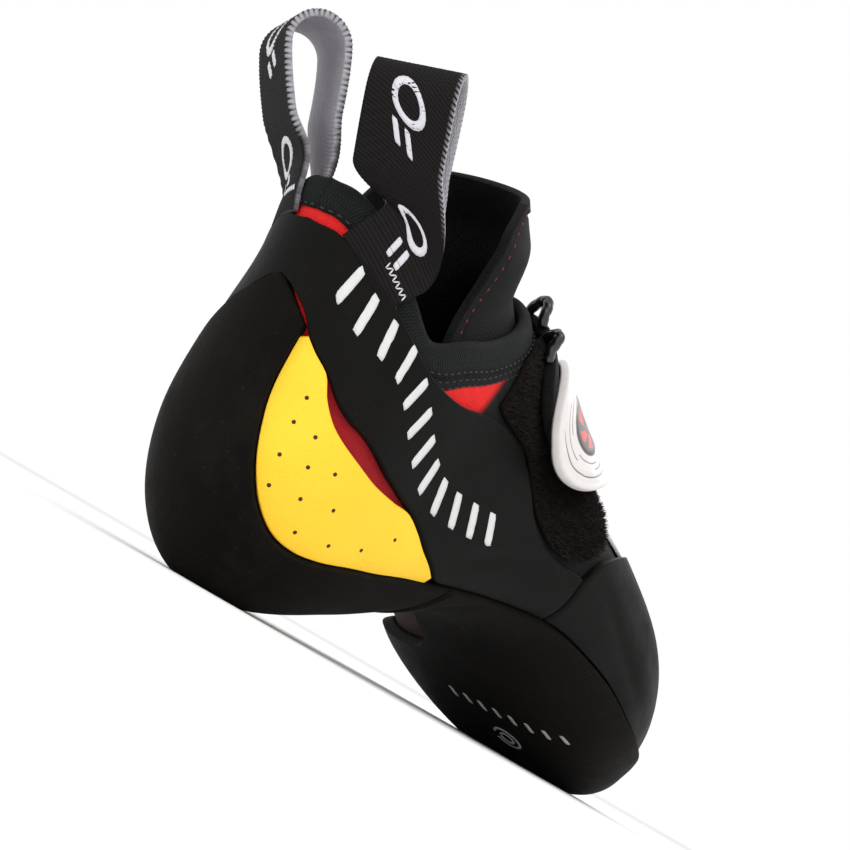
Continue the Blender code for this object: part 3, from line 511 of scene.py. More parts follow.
def instanceTree(name, kind, inputs):
    # a tree that sets one small shape at every point, turned by the point's own directions
    tree = bpy.data.node_groups.new(name, "GeometryNodeTree")

    def socket(key, kind, way="INPUT"):
        return tree.interface.new_socket(key, in_out=way, socket_type="NodeSocket" + kind)

    socket("Geometry", "Geometry")
    for key, amount in inputs.items():
        socket(key, "Float").default_value = amount
    socket("Material", "Material")
    socket("Geometry", "Geometry", "OUTPUT")
    source = tree.nodes.new("NodeGroupInput")
    result = tree.nodes.new("NodeGroupOutput")

    def join(a, b):
        tree.links.new(a, b)

    def new(nodeType, **settings):
        node = tree.nodes.new(nodeType)
        for key, setting in settings.items():
            setattr(node, key, setting)
        return node

    points = source.outputs["Geometry"]
    if kind == "pile":
        spread = new("GeometryNodeDistributePointsOnFaces", distribute_method="RANDOM")
        join(source.outputs["Geometry"], spread.inputs["Mesh"])
        join(source.outputs["Density"], spread.inputs["Density"])
        spread.inputs["Seed"].default_value = pile["seeds"]["spread"]
        points = spread.outputs["Points"]
        lean = new("FunctionNodeRandomValue", data_type="FLOAT_VECTOR")
        lean.inputs["Min"].default_value = (-1.0, -1.0, -1.0)
        lean.inputs["Max"].default_value = (1.0, 1.0, 1.0)
        lean.inputs["Seed"].default_value = pile["seeds"]["lean"]
        bend = new("ShaderNodeVectorMath", operation="MULTIPLY_ADD")
        bend.inputs[1].default_value = (pile["splay"],) * 3
        join(lean.outputs[0], bend.inputs[0])
        join(spread.outputs["Normal"], bend.inputs[2])
        upright = new("FunctionNodeAlignRotationToVector", axis="Z")
        join(bend.outputs[0], upright.inputs["Vector"])
        spin = upright.outputs[0]
        shape = new("GeometryNodeMeshCone", fill_type="NONE")
        shape.inputs["Vertices"].default_value = 3
        shape.inputs["Side Segments"].default_value = 1
        shape.inputs["Radius Top"].default_value = pile["tip"]
        shape.inputs["Radius Bottom"].default_value = 1.0
        shape.inputs["Depth"].default_value = 1.0
    else:
        along = new("GeometryNodeInputNamedAttribute", data_type="FLOAT_VECTOR")
        along.inputs["Name"].default_value = "along"
        out = new("GeometryNodeInputNamedAttribute", data_type="FLOAT_VECTOR")
        out.inputs["Name"].default_value = "out"
        first = new("FunctionNodeAlignRotationToVector", axis="X")
        join(along.outputs[0], first.inputs["Vector"])
        second = new("FunctionNodeAlignRotationToVector", axis="Z", pivot_axis="X")
        join(first.outputs[0], second.inputs["Rotation"])
        join(out.outputs[0], second.inputs["Vector"])
        spin = second.outputs[0]
        shape = new("GeometryNodeMeshUVSphere")
        shape.inputs["Segments"].default_value = 8
        shape.inputs["Rings"].default_value = 6
        shape.inputs["Radius"].default_value = 1.0
    size = new("ShaderNodeCombineXYZ")
    for axis, key in zip("XYZ", ("Length", "Width", "Height")):
        join(source.outputs[key], size.inputs[axis])
    place = new("GeometryNodeInstanceOnPoints")
    join(points, place.inputs["Points"])
    join(shape.outputs["Mesh"], place.inputs["Instance"])
    join(spin, place.inputs["Rotation"])
    if kind == "pile":
        chance = new("FunctionNodeRandomValue", data_type="FLOAT")
        chance.inputs[2].default_value = pile["sizes"][0]
        chance.inputs[3].default_value = pile["sizes"][1]
        chance.inputs["Seed"].default_value = pile["seeds"]["size"]
        scaled = new("ShaderNodeVectorMath", operation="SCALE")
        join(size.outputs[0], scaled.inputs[0])
        join(chance.outputs[1], scaled.inputs["Scale"])
        join(scaled.outputs[0], place.inputs["Scale"])
    else:
        join(size.outputs[0], place.inputs["Scale"])
    real = new("GeometryNodeRealizeInstances")
    join(place.outputs[0], real.inputs[0])
    paint = new("GeometryNodeSetMaterial")
    join(real.outputs[0], paint.inputs["Geometry"])
    join(source.outputs["Material"], paint.inputs["Material"])
    join(paint.outputs[0], result.inputs[0])
    return tree


grainSize = {"Length": 0.0010, "Width": 0.0003, "Height": 0.0003}
stitchTree = instanceTree("stitches", "points", grainSize)
pileTree = instanceTree("pile", "pile", {"Density": 1e6, **grainSize})


def runTree(name, carrier, tree, look, **inputs):
    # runs the tree on the carrier's mesh and keeps the result as a plain mesh
    modifier = carrier.modifiers.new("scatter", "NODES")
    modifier.node_group = tree
    for socket in tree.interface.items_tree:
        if socket.in_out == "INPUT" and socket.name in inputs:
            modifier[socket.identifier] = inputs[socket.name]
        elif socket.in_out == "INPUT" and socket.name == "Material":
            modifier[socket.identifier] = look.material
    bpy.context.view_layer.update()
    graph = bpy.context.evaluated_depsgraph_get()
    mesh = bpy.data.meshes.new_from_object(carrier.evaluated_get(graph))
    mesh.name = name
    mesh.shade_smooth()
    carrier.modifiers.remove(modifier)
    bpy.data.objects.remove(carrier)
    return keep(link(bpy.data.objects.new(name, mesh)))


def stitchRun(name, runs, look, length, width, height):
    # stitches at points that know which way they lie; runs hold points, along and out
    points, along, out = (np.vstack([run[k] for run in runs]) for k in range(3))
    mesh = bpy.data.meshes.new(name)
    mesh.from_pydata(points.tolist(), [], [])
    for key, values in (("along", along), ("out", out)):
        layer = mesh.attributes.new(key, "FLOAT_VECTOR", "POINT")
        layer.data.foreach_set("vector", np.asarray(values, np.float32).ravel())
    carrier = link(bpy.data.objects.new(name, mesh))
    return runTree(name, carrier, stitchTree, look, Length=length, Width=width, Height=height)


def finePath(path, steps):
    # rows and turns along a path of places, in many small steps
    rows, turns = (np.array(v, float) for v in zip(*path))
    knots = np.arange(len(path))
    share = np.linspace(0, len(path) - 1, steps * len(path))
    return smooth(share, knots, rows), smooth(share, knots, turns)


def lengthAlong(line):
    return np.r_[0, np.cumsum(np.linalg.norm(np.diff(line, axis=0), axis=1))]


def atStops(stops, length, net):
    # points of a line at lengths walked along it
    stops = np.atleast_1d(stops)
    return np.stack([np.interp(stops, length, net[:, k]) for k in range(3)], axis=1)


def surfaceRun(path, height, spacing):
    # points along a path of places at even steps, with the way along and the way out
    row, turn = finePath(path, 60)
    level = height(row, turn) if callable(height) else np.full(row.shape, height)
    line = form.at(row, turn, level)
    _, out = form.frame(row, turn)
    length = lengthAlong(line)
    stops = np.arange(spacing / 2, length[-1], spacing)
    points = atStops(stops, length, line)
    ahead = atStops(stops + spacing / 4, length, line)
    return points, ahead - points + 1e-9, atStops(stops, length, out)


def treeOf(piece):
    # finds the nearest place on a finished piece
    return BVHTree.FromObject(piece, bpy.context.evaluated_depsgraph_get())


def printShape(tree, centre, along, aside, outline, lift=0.00012, sink=0.0002):
    # one thin printed shape laid on a piece; its outline is a net of ways along and aside
    outer, inner = [], []
    for u, v in outline.reshape(-1, 2):
        spot = Vector(centre + along * u + aside * v)
        place, normal, _, _ = tree.find_nearest(spot)
        outer.append(np.array(place + normal * lift))
        inner.append(np.array(place - normal * sink))
    shape = outline.shape[:2]
    return np.array(outer).reshape(*shape, 3), np.array(inner).reshape(*shape, 3)


def slantedBar(width, height, slant, across=0.0, up=0.0):
    # a net over a bar that leans, with its corners drawn in a little
    u, v = np.meshgrid(np.linspace(-0.5, 0.5, 4), np.linspace(-0.5, 0.5, 9), indexing="ij")
    u = u * (1 - 0.22 * (np.abs(v) * 2) ** 12)
    return np.stack([u * width + v * height * slant + across, v * height + up], axis=-1)


def openRing(radius, stroke, start, sweep, across=0.0, up=0.0):
    # a net over part of a ring, angles in degrees
    reach = np.linspace(radius - stroke / 2, radius + stroke / 2, 3)
    swing = np.radians(start) + np.radians(sweep) * np.linspace(0, 1, 22)
    r, angle = np.meshgrid(reach, swing, indexing="ij")
    return np.stack([r * np.cos(angle) + across, r * np.sin(angle) + up], axis=-1)


def placesAlong(path, stops):
    # points, ways along and ways out at shares of the length of a path of places
    line, out = form.frame(*finePath(path, 80))
    length = lengthAlong(line)
    wanted = np.asarray(stops) * length[-1]
    along = atStops(wanted + 0.001, length, line) - atStops(wanted - 0.001, length, line)
    return atStops(wanted, length, line), unit(along), atStops(wanted, length, out)


def printAlong(piece, path, stops, outlines, start=0.006):
    # shells of print laid on a piece's outer face at stops along a path
    tree = treeOf(piece)
    shells = []
    for centre, along, out in zip(*placesAlong(path, stops)):
        aside = np.cross(out, along)
        for outline in outlines:
            shells.append(printShape(tree, centre + out * start, along, aside, outline))
    return shells


def joinShells(name, shells, look):
    # several closed shells in one mesh
    points, faces, start = [], [], 0
    for outer, inner in shells:
        faces += shellFaces(*outer.shape[:2], start)
        points += [outer.reshape(-1, 3), inner.reshape(-1, 3)]
        start += 2 * outer.shape[0] * outer.shape[1]
    return keep(makeObject(name, np.vstack(points), faces, look))


# Finishes


def rubberLook(name, slot, base, dust, dustShare, rough, grain, gloss):
    # black rubber: cloudy, dusty in the open, scuffed at its edges
    look = Look(name, slot, Specular_IOR_Level=gloss)
    clouds = look.noise(38.0, 4.0, 0.62)
    patches = look.noise(160.0, 5.0, 0.68)
    fine = look.noise(2600.0, 3.0, 0.6)
    specks = look.cells(900.0).between(0.16, 0.06) * look.noise(300.0, 2.0).between(0.5, 0.66)
    edge = look.attribute("edge").between(0.9, 0.15)
    dusty = (clouds * 0.55 + patches * 0.45).between(0.40, 0.68) * dustShare
    dusty = dusty + edge * patches * 0.35
    tone = look.mix(dusty, base, dust)
    tone = look.mix(fine.between(0.35, 0.75) * 0.35, tone, tuple(c * 1.9 for c in base))
    tone = look.mix(specks * 0.30, tone, tuple(min(1.0, c * 9) for c in dust))
    look.colour(tone)
    look.roughness(patches * 0.18 + dusty * 0.2 + rough)
    look.bump(fine * 0.5 + patches * 0.8 + look.noise(900.0, 3.0) * 0.7, grain)
    return look


def yellowLook():
    # bright rubber with a fine grain; the darker orange along its border is painted shade where the
    # neighbouring pieces overlap it
    look = Look("yellow_rubber", "yellow_inlay", Specular_IOR_Level=0.35)
    edge = look.attribute("edge").between(0.85, 0.25)
    tone = look.mix(look.noise(70.0, 4.0), (1.0, 0.56, 0.016), (1.0, 0.65, 0.034))
    grime = look.noise(420.0, 4.0, 0.7).between(0.62, 0.82)
    tone = look.mix(grime * 0.22, tone, (0.62, 0.34, 0.02))
    # painted shade: the border darkens to a deeper orange, standing for the shadow of the band and
    # heel cup along it
    tone = look.mix(edge * 0.7, tone, (0.85, 0.33, 0.008))
    look.colour(tone)
    look.roughness(look.noise(300.0, 3.0) * 0.15 + 0.50)
    look.bump(look.cells(2300.0) + look.noise(900.0, 2.0) * 0.4, 0.00008)
    return look


upperZones = {
    "crescent": (0.150, 0.160),  # turns behind which the strip over the band is red
    "triangle": (10.30, 10.55, 11.75, 12.0),  # rows of the red corner in front of the band
    "triangleSide": (0.385, 0.375),  # and the turn from the sole's middle that it ends at
    "soleTurn": (0.185, 0.20),  # inside this the cloth is the foot's underside
    "slitRow": (9.6, 9.9, 13.2, 13.5), "slitTurn": (0.245, 0.240),  # the red between inlay and band, painted darker as shade in the gap
    "facing": (0.0072, 0.0078),  # how far the black facing reaches below the rim
}


def rowZone(row, low, lowEnd, highEnd, high):
    return row.between(low, lowEnd) * row.between(high, highEnd)


def upperLook():
    # red nap where the overlays leave it open, painted darker as shade in the slit between inlay
    # and band, black facing, dark board under the foot, dark lining
    look = Look("red_nap", "red_synthetic", Specular_IOR_Level=0.15, Sheen_Weight=0.03,
                Sheen_Roughness=0.5)
    rim = look.attribute("rim")
    row = look.attribute("row")
    side = look.attribute("side")
    inside = look.attribute("under")
    heel = side.between(*reversed(upperZones["crescent"])) * row.between(13.3, 13.6)
    corner = rowZone(row, *upperZones["triangle"]) * side.between(*upperZones["triangleSide"])
    corner = corner * rim.between(*upperZones["facing"])
    slit = rowZone(row, *upperZones["slitRow"]) * side.between(*upperZones["slitTurn"])
    bright = look.mix(look.noise(240.0, 5.0, 0.7), (0.60, 0.010, 0.012), (0.82, 0.024, 0.022))
    # painted shade: a darker red for the slit between inlay and band, where shade falls in the gap
    slitShadeRed = look.mix(look.noise(300.0, 4.0), (0.24, 0.008, 0.012), (0.40, 0.014, 0.020))
    cloth = look.mix(look.noise(900.0, 3.0), (0.0024, 0.0026, 0.0024), (0.0105, 0.0108, 0.0100))
    tone = look.mix(heel.higher(corner).higher(slit), cloth, look.mix(slit, bright, slitShadeRed))
    board = side.between(*reversed(upperZones["soleTurn"])) * row.between(9.4, 9.0)
    felt = look.mix(look.noise(500.0, 4.0), (0.010, 0.0035, 0.003), (0.030, 0.008, 0.006))
    lining = look.mix(look.noise(350.0, 3.0), (0.0040, 0.0028, 0.0024), (0.0125, 0.0085, 0.0070))
    look.colour(look.mix(inside, look.mix(board, tone, felt), lining))
    look.roughness(look.noise(500.0, 2.0) * 0.15 + 0.75)
    look.bump(look.cells(1500.0) + look.noise(1800.0, 3.0) * 0.8, 0.00014)
    return look


def clothLook(name, slot, low, high, pitch, depth):
    # a close weave laid along the piece
    look = Look(name, slot, Specular_IOR_Level=0.12, Sheen_Weight=0.02, Sheen_Roughness=0.5)
    u, v = look.map("lay")
    warp = (u / pitch).wave()
    weft = (v / pitch).wave()
    weave = (warp * (1 - weft)).higher(weft * (1 - warp))
    look.colour(look.mix(weave * 0.6 + look.noise(600.0, 3.0) * 0.4, low, high))
    look.roughness(look.noise(400.0, 2.0) * 0.1 + 0.8)
    look.bump(weave + look.noise(2400.0, 2.0) * 0.5, depth)
    return look


def plainLook(name, slot, low, high, scale, roughness, depth, **constants):
    # two tones in soft clouds
    look = Look(name, slot, **constants)
    look.colour(look.mix(look.noise(scale, 3.0, 0.6), low, high))
    look.roughness(look.noise(scale * 0.6, 2.0) * 0.12 + roughness)
    look.bump(look.noise(scale * 4.0, 3.0), depth)
    return look


webbing = {
    "height": 0.042, "spread": 0.0142, "width": 0.020, "thickness": 0.0016,
    "root": 0.0060,  # how far the outer leg runs below the rim
    "straight": 0.40,  # share of the height over which it leaves the rim's bend
    "legSteps": 90, "crownSteps": 48, "rootSteps": 14, "strands": 21,
    "rib": 0.00010, "pitch": 0.00095, "yarn": 0.00055, "bead": 0.00125, "beadFrom": 0.012,
}


def webbingLook():
    # ribbed across, black outside and pale inside, with one beaded edge
    look = Look("ribbed_webbing", "webbing", Specular_IOR_Level=0.15)
    u, v = look.map("lay")
    inside = look.attribute("under")
    rib = (u / webbing["pitch"]).wave()
    course = (u / (2 * webbing["pitch"])).apply("FLOOR")
    yarn = (v / webbing["yarn"] + course * 0.5).wave()
    dark = look.mix(rib * 0.7 + yarn * 0.3, (0.0020, 0.0017, 0.0017), (0.0135, 0.0110, 0.0108))
    lint = yarn * 0.6 + look.noise(700.0, 3.0) * 0.4
    pale = look.mix(lint, (0.24, 0.235, 0.25), (0.48, 0.46, 0.50))
    bead = (u / webbing["bead"]).wave().between(0.3, 0.5) * look.attribute("selvedge")
    look.colour(look.mix(bead * 0.7, look.mix(inside, dark, pale), (0.45, 0.44, 0.47)))
    look.roughness(yarn * 0.15 + 0.68)
    look.bump(rib * 0.7 + yarn * 0.4 + look.noise(3000.0, 2.0) * 0.3, 0.00018)
    return look


badge = {
    "place": (8.50, 0.606), "diameter": 0.038, "thickness": 0.0022, "rings": 30, "sides": 96,
    "contours": (0.80, 0.68, 0.585), "line": 0.014, "patch": 0.47, "ring": (0.16, 0.36),
    "lip": 0.00035, "boss": 0.00025, "groove": 0.00018, "rollFrom": 0.965,  # shares of the radius
}


def badgeLook():
    # pale face with fine dark contour lines, and a dark middle with a broken red ring
    look = Look("badge_face", "badge_face", Coat_Weight=0.15, Coat_Roughness=0.3)
    u, v = look.map("polar")
    radius = u + (look.noise(110.0, 2.0) * 0.05 - 0.025)
    wide = badge["line"]
    pale = look.mix(look.noise(500.0, 3.0), (0.62, 0.585, 0.57), (0.74, 0.71, 0.69))
    lines = None
    for number, level in enumerate(badge["contours"]):
        ring = radius.between(level - wide, level - wide / 2)
        ring = ring * radius.between(level + wide, level + wide / 2)
        part = (v * (number + 2) + 0.17 * number).wave().between(0.25, 0.35)
        lines = ring * part if lines is None else lines.higher(ring * part)
    tone = look.mix(lines * 0.85, pale, (0.05, 0.045, 0.045))
    disc = radius.between(badge["patch"] + 0.01, badge["patch"] - 0.01)
    dark = look.mix(look.noise(900.0, 3.0), (0.020, 0.020, 0.022), (0.07, 0.07, 0.075))
    tone = look.mix(disc, tone, dark)
    low, high = badge["ring"]
    red = radius.between(low - 0.01, low + 0.01) * radius.between(high + 0.01, high - 0.01)
    red = red * (v * 6.0 + radius * 1.4).wave().between(0.3, 0.4)
    tone = look.mix(red, tone, (0.66, 0.018, 0.016))
    tone = look.mix(look.attribute("under"), tone, (0.02, 0.018, 0.018))
    look.colour(tone)
    look.roughness(look.noise(700.0, 2.0) * 0.12 + 0.34)
    look.bump(look.noise(1500.0, 3.0), 0.00004)
    return look


soleRubber = rubberLook("sole_rubber", "sole_rubber", (0.0031, 0.0024, 0.0019),
                        (0.0135, 0.0108, 0.0084), 0.50, 0.55, 0.00012, 0.06)
bandRubber = rubberLook("rand_rubber", "rand_rubber", (0.0027, 0.0024, 0.0021),
                        (0.0085, 0.0075, 0.0064), 0.35, 0.46, 0.00007, 0.09)
yellowRubber = yellowLook()
upperCloth = upperLook()
badgeFace = badgeLook()
webbingWeave = webbingLook()

# two colours, pitch of the weave, depth
weaves = {
    "strap_cloth": ((0.0025, 0.0023, 0.0023), (0.012, 0.0105, 0.0105), 0.0007, 0.00012),
    "elastic_knit": ((0.0022, 0.0022, 0.0022), (0.0105, 0.0100, 0.0098), 0.0009, 0.00012),
    "binding_tape": ((0.0024, 0.0030, 0.0027), (0.014, 0.017, 0.015), 0.0008, 0.00018),
}
strapCloth, knitCloth, tapeCloth = (clothLook(name, name, *weave) for name, weave in weaves.items())

# name, slot, two colours, scale of their clouds, roughness, depth of the grain
whiteHide = plainLook("white_hide", "white_synthetic", (0.60, 0.59, 0.575), (0.76, 0.75, 0.73),
                      380.0, 0.42, 0.00008, Coat_Weight=0.1)
padCloth = plainLook("loop_cloth", "loop_cloth", (0.0035, 0.0026, 0.0025), (0.013, 0.0085, 0.0080),
                     900.0, 0.85, 0.0002, Specular_IOR_Level=0.1)
pileFibre = plainLook("pile_fibre", "loop_cloth", (0.006, 0.0040, 0.0038), (0.030, 0.021, 0.020),
                      1500.0, 0.6, 0.00005, Specular_IOR_Level=0.25)
cordSkin = plainLook("keeper_cord", "keeper_cord", (0.0035, 0.0028, 0.0028), (0.009, 0.007, 0.007),
                     500.0, 0.22, 0.00003, Coat_Weight=0.35, Coat_Roughness=0.15)
footbed = plainLook("insole_felt", "insole_board", (0.010, 0.008, 0.007), (0.028, 0.022, 0.020),
                    700.0, 0.85, 0.0001, Specular_IOR_Level=0.1)
printFilm = plainLook("grey_print", "rand_rubber", (0.60, 0.60, 0.595), (0.70, 0.70, 0.695),
                      600.0, 0.48, 0.00003)
soleFilm = plainLook("sole_print", "sole_rubber", (0.28, 0.28, 0.28), (0.62, 0.62, 0.61),
                     900.0, 0.6, 0.00003)
whiteThread = plainLook("white_thread", "webbing", (0.50, 0.49, 0.52), (0.74, 0.72, 0.78),
                        2500.0, 0.6, 0.00003)
blackThread = plainLook("black_thread", "binding_tape", (0.003, 0.003, 0.003),
                        (0.018, 0.018, 0.017), 2500.0, 0.5, 0.00003)
redThread = plainLook("red_thread", "elastic_knit", (0.12, 0.010, 0.012), (0.25, 0.020, 0.025),
                      2500.0, 0.6, 0.00003)
# painted shade: the dark colour of the pinholes stands for the shade inside the holes
pinholeShadeLook = plainLook("pinhole_shade", "yellow_inlay", (0.030, 0.012, 0.004), (0.06, 0.025, 0.006),
                    800.0, 0.8, 0.00002)
print("finishes made")

# Upper

rim = {
    "turn": (0.0, 0.05, 0.08, 0.12, 0.17, 0.235, 0.27, 0.305, 0.335, 0.360, 0.385, 0.415, 0.445,
             0.47, 0.495, 0.54, 0.60, 0.66, 0.70, 0.735, 0.765, 0.83, 0.88, 0.92, 0.95, 1.0),
    "row": (15.0, 14.93, 14.78, 14.38, 13.66, 12.54, 12.00, 11.35, 10.55, 9.60, 8.70, 8.10, 8.60,
            9.35, 9.95, 10.15, 10.55, 11.30, 11.85, 12.2, 12.54, 13.66, 14.38, 14.78, 14.93, 15.0),
    "stretches": ((0.0, 0.28, 50), (0.28, 0.52, 62), (0.52, 1.0, 78)),
}
soleOpening = {
    "row": (2.3, 2.8, 3.4, 4.6, 5.3, 5.9, 6.6, 7.2, 7.8, 8.6, 9.4, 9.9),
    "lateral": (0.0, -0.060, -0.090, -0.110, -0.110, -0.100,
                -0.095, -0.090, -0.080, -0.075, -0.045, 0.0),
    "medial": (0.0, 0.060, 0.085, 0.100, 0.055, 0.000,
               -0.020, -0.010, 0.035, 0.060, 0.040, 0.0),
    "pull": 0.28,
}
upper = {"frontRows": 56, "backRows": 78, "bandFront": 7.1}


def rimLines():
    parts = [np.linspace(start, end, lines + 1)[:-1] for start, end, lines in rim["stretches"]]
    return np.append(np.concatenate(parts), 1.0)


def makeUpper():
    share = rimLines()
    columns = len(share) - 1
    front = np.linspace(0, upper["bandFront"], upper["frontRows"])
    back = np.linspace(0, 1, upper["backRows"])[1:]
    edge = smooth(share, rim["turn"], rim["row"])
    row = np.vstack([
        np.repeat(front[:, None], columns + 1, axis=1),
        upper["bandFront"] + back[:, None] * (edge[None, :] - upper["bandFront"]),
    ])
    lateral = smooth(row, soleOpening["row"], soleOpening["lateral"])
    medial = smooth(row, soleOpening["row"], soleOpening["medial"])
    outside = (row <= soleOpening["row"][0]) | (row >= soleOpening["row"][-1])
    lateral[outside] = 0.0
    medial[outside] = 0.0
    turn = share + medial * np.clip(1 - share / soleOpening["pull"], 0, 1)
    turn = turn + lateral * np.clip(1 - (1 - share) / soleOpening["pull"], 0, 1)
    outer = form.at(row, turn, np.zeros(row.shape))
    inner = form.at(row, turn, np.full(row.shape, -wall))
    rows = len(row)
    count = rows * (columns + 1)
    top, number = gridFaces(rows, columns + 1)
    faces = top.tolist() + (top[:, ::-1] + count).tolist()
    apart = np.linalg.norm(outer[:, 0] - outer[:, -1], axis=1) > 1e-6
    for i in range(rows - 1):
        if apart[i] or apart[i + 1]:
            for j in (0, columns):
                a, b = int(number[i, j]), int(number[i + 1, j])
                faces.append((a, b, b + count, a + count))
    for j in range(columns):
        a, b = int(number[-1, j]), int(number[-1, j + 1])
        faces.append((a, b, b + count, a + count))
    faces.append(tuple(int(n) for n in number[0, :-1]))
    faces.append(tuple(int(n) + count for n in number[0, :-1]))
    toRim = walked(outer)
    toRim = toRim[-1] - toRim
    side = np.minimum(np.mod(turn, 1.0), 1 - np.mod(turn, 1.0))
    numbers = {"rim": toRim, "row": row, "side": side}
    numbers = {key: np.r_[net.ravel(), net.ravel()] for key, net in numbers.items()}
    numbers["under"] = np.r_[np.zeros(count), np.ones(count)]
    points = np.vstack([outer.reshape(-1, 3), inner.reshape(-1, 3)])
    piece = makeObject("upper_nap", points, faces, upperCloth, numbers=numbers, turn=False)
    net = bmesh.new()
    net.from_mesh(piece.data)
    # the two lengthwise borders meet in front of the sole's opening and behind it
    bmesh.ops.remove_doubles(net, verts=net.verts, dist=2e-6)
    bmesh.ops.dissolve_degenerate(net, edges=net.edges, dist=2e-6)
    bmesh.ops.recalc_face_normals(net, faces=net.faces)
    net.to_mesh(piece.data)
    net.free()
    return keep(piece, "upper")


makeUpper()
print("upper")

insole = {
    "row": (1.9, 2.3, 3.0, 4.0, 5.0, 6.0, 7.0, 8.0, 9.0, 9.8, 10.6, 11.1),
    "lateral": (-0.06, -0.13, -0.16, -0.175, -0.175, -0.165,
                -0.155, -0.135, -0.115, -0.105, -0.085, -0.05),
    "medial": (0.06, 0.13, 0.155, 0.165, 0.155, 0.125,
               0.110, 0.115, 0.110, 0.100, 0.080, 0.05),
    "thickness": 0.0020, "ease": 0.0008,
}
row, turn = stripNet(insole, "lateral", "medial", 90, 26)
overlay("insole_felt", row, turn, footbed, insole["thickness"],
        bottom=-(wall + insole["ease"] + insole["thickness"]), node="insole")

# Rubber

soleEdge = {
    "row": (0.0, 1.0, 2.0, 3.0, 4.3, 5.1, 5.9, 6.7, 7.6, 8.1, 8.8),
    "turn": (0.250, 0.250, 0.246, 0.238, 0.225, 0.215, 0.208, 0.190, 0.164, 0.156, 0.155),
}
soleBay = {
    "row": (4.5, 4.9, 5.25, 5.5, 5.7, 5.95, 6.4, 6.9, 7.3, 7.6, 7.9, 8.2, 8.4),
    "turn": (0.0, 0.018, 0.048, 0.097, 0.138, 0.158, 0.160, 0.145, 0.110, 0.060, 0.020, 0.003, 0.0),
}
outsole = {
    "front": 0.05, "rear": 8.5, "thickness": 0.0036, "steps": 190, "count": 76, "edge": 0.0016,
    "creases": (
        (((5.2, -0.19), (4.2, -0.20), (3.0, -0.21)), 0.0028, 0.00045),
        (((8.3, -0.12), (7.9, -0.15), (7.4, -0.175)), 0.0016, 0.0005),
    ),
}


def evenAndEdges(count):
    even = np.linspace(0, 1, count)
    return 0.5 * even + 0.5 * (1 - np.cos(np.pi * even)) / 2


def makeOutsole():
    line = np.linspace(outsole["front"], outsole["rear"], outsole["steps"])
    lateral = -smooth(line, soleEdge["row"], soleEdge["turn"])
    medial = -lateral - smooth(line, soleBay["row"], soleBay["turn"])
    turn = lateral[:, None] + (medial - lateral)[:, None] * evenAndEdges(outsole["count"])[None, :]
    row = np.repeat(line[:, None], outsole["count"], axis=1)

    return overlay("outsole_rubber", row, turn, soleRubber, outsole["thickness"],
                   radius=outsole["edge"], blunt=0.30, relief=creased(outsole["creases"]),
                   node="outsole")


outsolePiece = makeOutsole()

cup = {
    "row": (8.5, 9.0, 9.5, 10.0, 10.5, 10.8, 11.1, 11.6, 12.1, 12.5, 12.8, 13.3, 13.6),
    "lateral": (0.155, 0.152, 0.146, 0.137, 0.115, 0.100, 0.087,
                0.072, 0.062, 0.055, 0.051, 0.054, 0.058),
    "medial": (0.155, 0.152, 0.146, 0.137, 0.122, 0.114, 0.109,
               0.108, 0.113, 0.118, 0.105, 0.077, 0.058),
    "peak": 0.50, "peakStart": 12.1, "peakPoint": 1.3,
    "thickness": 0.0030, "steps": 110, "count": 60, "edge": 0.0015,
}


def makeCup():
    line = np.linspace(cup["row"][0], cup["row"][-1], cup["steps"])
    lateral = smooth(line, cup["row"], cup["lateral"])
    turn = across(-lateral, smooth(line, cup["row"], cup["medial"]), cup["count"])
    side = np.abs(np.linspace(-1, 1, cup["count"]))
    climb = np.clip((line - cup["peakStart"]) / (line[-1] - cup["peakStart"]), 0, 1)
    row = line[:, None] + cup["peak"] * climb[:, None] * (1 - side ** cup["peakPoint"])[None, :]
    overlay("heel_rubber", row, turn, soleRubber, cup["thickness"], radius=cup["edge"],
            blunt=0.15, node="heel_cup")


makeCup()

inlay = {
    "row": (8.80, 9.0, 9.4, 9.7, 10.1, 10.5, 11.05, 11.5, 12.0, 12.4, 12.7, 13.0, 13.3, 13.5),
    "turn": (0.158, 0.170, 0.188, 0.200, 0.207, 0.199, 0.183,
             0.167, 0.144, 0.124, 0.111, 0.101, 0.079, 0.064),
    "tip": 0.03, "tops": {"lateral": 13.5, "medial": 12.45},
    "thickness": 0.0014, "steps": 110, "count": 34,
}
slit = {
    "row": (10.1, 10.5, 11.05, 11.5, 12.0, 12.4, 12.7, 13.0),
    "turn": (0.0, 0.005, 0.011, 0.015, 0.016, 0.011, 0.006, 0.0),
}
band = {
    "upperRow": (14.70, 14.60, 14.20, 13.48, 12.33, 10.98, 9.93, 9.01, 8.26, 7.70, 7.1),
    "upperTurn": (0.0, 0.055, 0.112, 0.168, 0.233, 0.293, 0.330, 0.320, 0.268, 0.247, 0.250),
    "lowerRow": (14.08, 13.96, 13.45, 12.83, 11.95, 10.70, 9.73, 8.80, 8.20, 7.65, 7.1),
    "peakRow": (13.75, 13.92, 14.02, 14.08), "peakTurn": (0.048, 0.030, 0.015, 0.0),
    "thickness": 0.0019, "steps": 96, "count": 34, "edge": 0.0010,
    "creases": (
        (((8.9, -0.19), (8.3, -0.215), (7.6, -0.225)), 0.0022, 0.0006),
        (((8.2, -0.26), (7.7, -0.255), (7.2, -0.245)), 0.003, 0.0005),
        (((13.6, -0.10), (13.0, -0.125), (12.2, -0.15)), 0.004, -0.0003),
    ),
}


def bandLowerTurn(row):
    sole = [(r, t) for r, t in zip(soleEdge["row"], soleEdge["turn"]) if r < inlay["row"][0]]
    openTurn = np.interp(inlay["row"], slit["row"], slit["turn"])
    beside = list(zip(inlay["row"], np.array(inlay["turn"]) + openTurn))
    peak = list(zip(band["peakRow"], band["peakTurn"]))
    rows, turns = zip(*(sole + beside + peak))
    edge = smooth(row, rows, turns)
    besideSole = smooth(row, soleEdge["row"], soleEdge["turn"])
    return np.where(row < inlay["row"][0], np.maximum(edge, besideSole), edge)


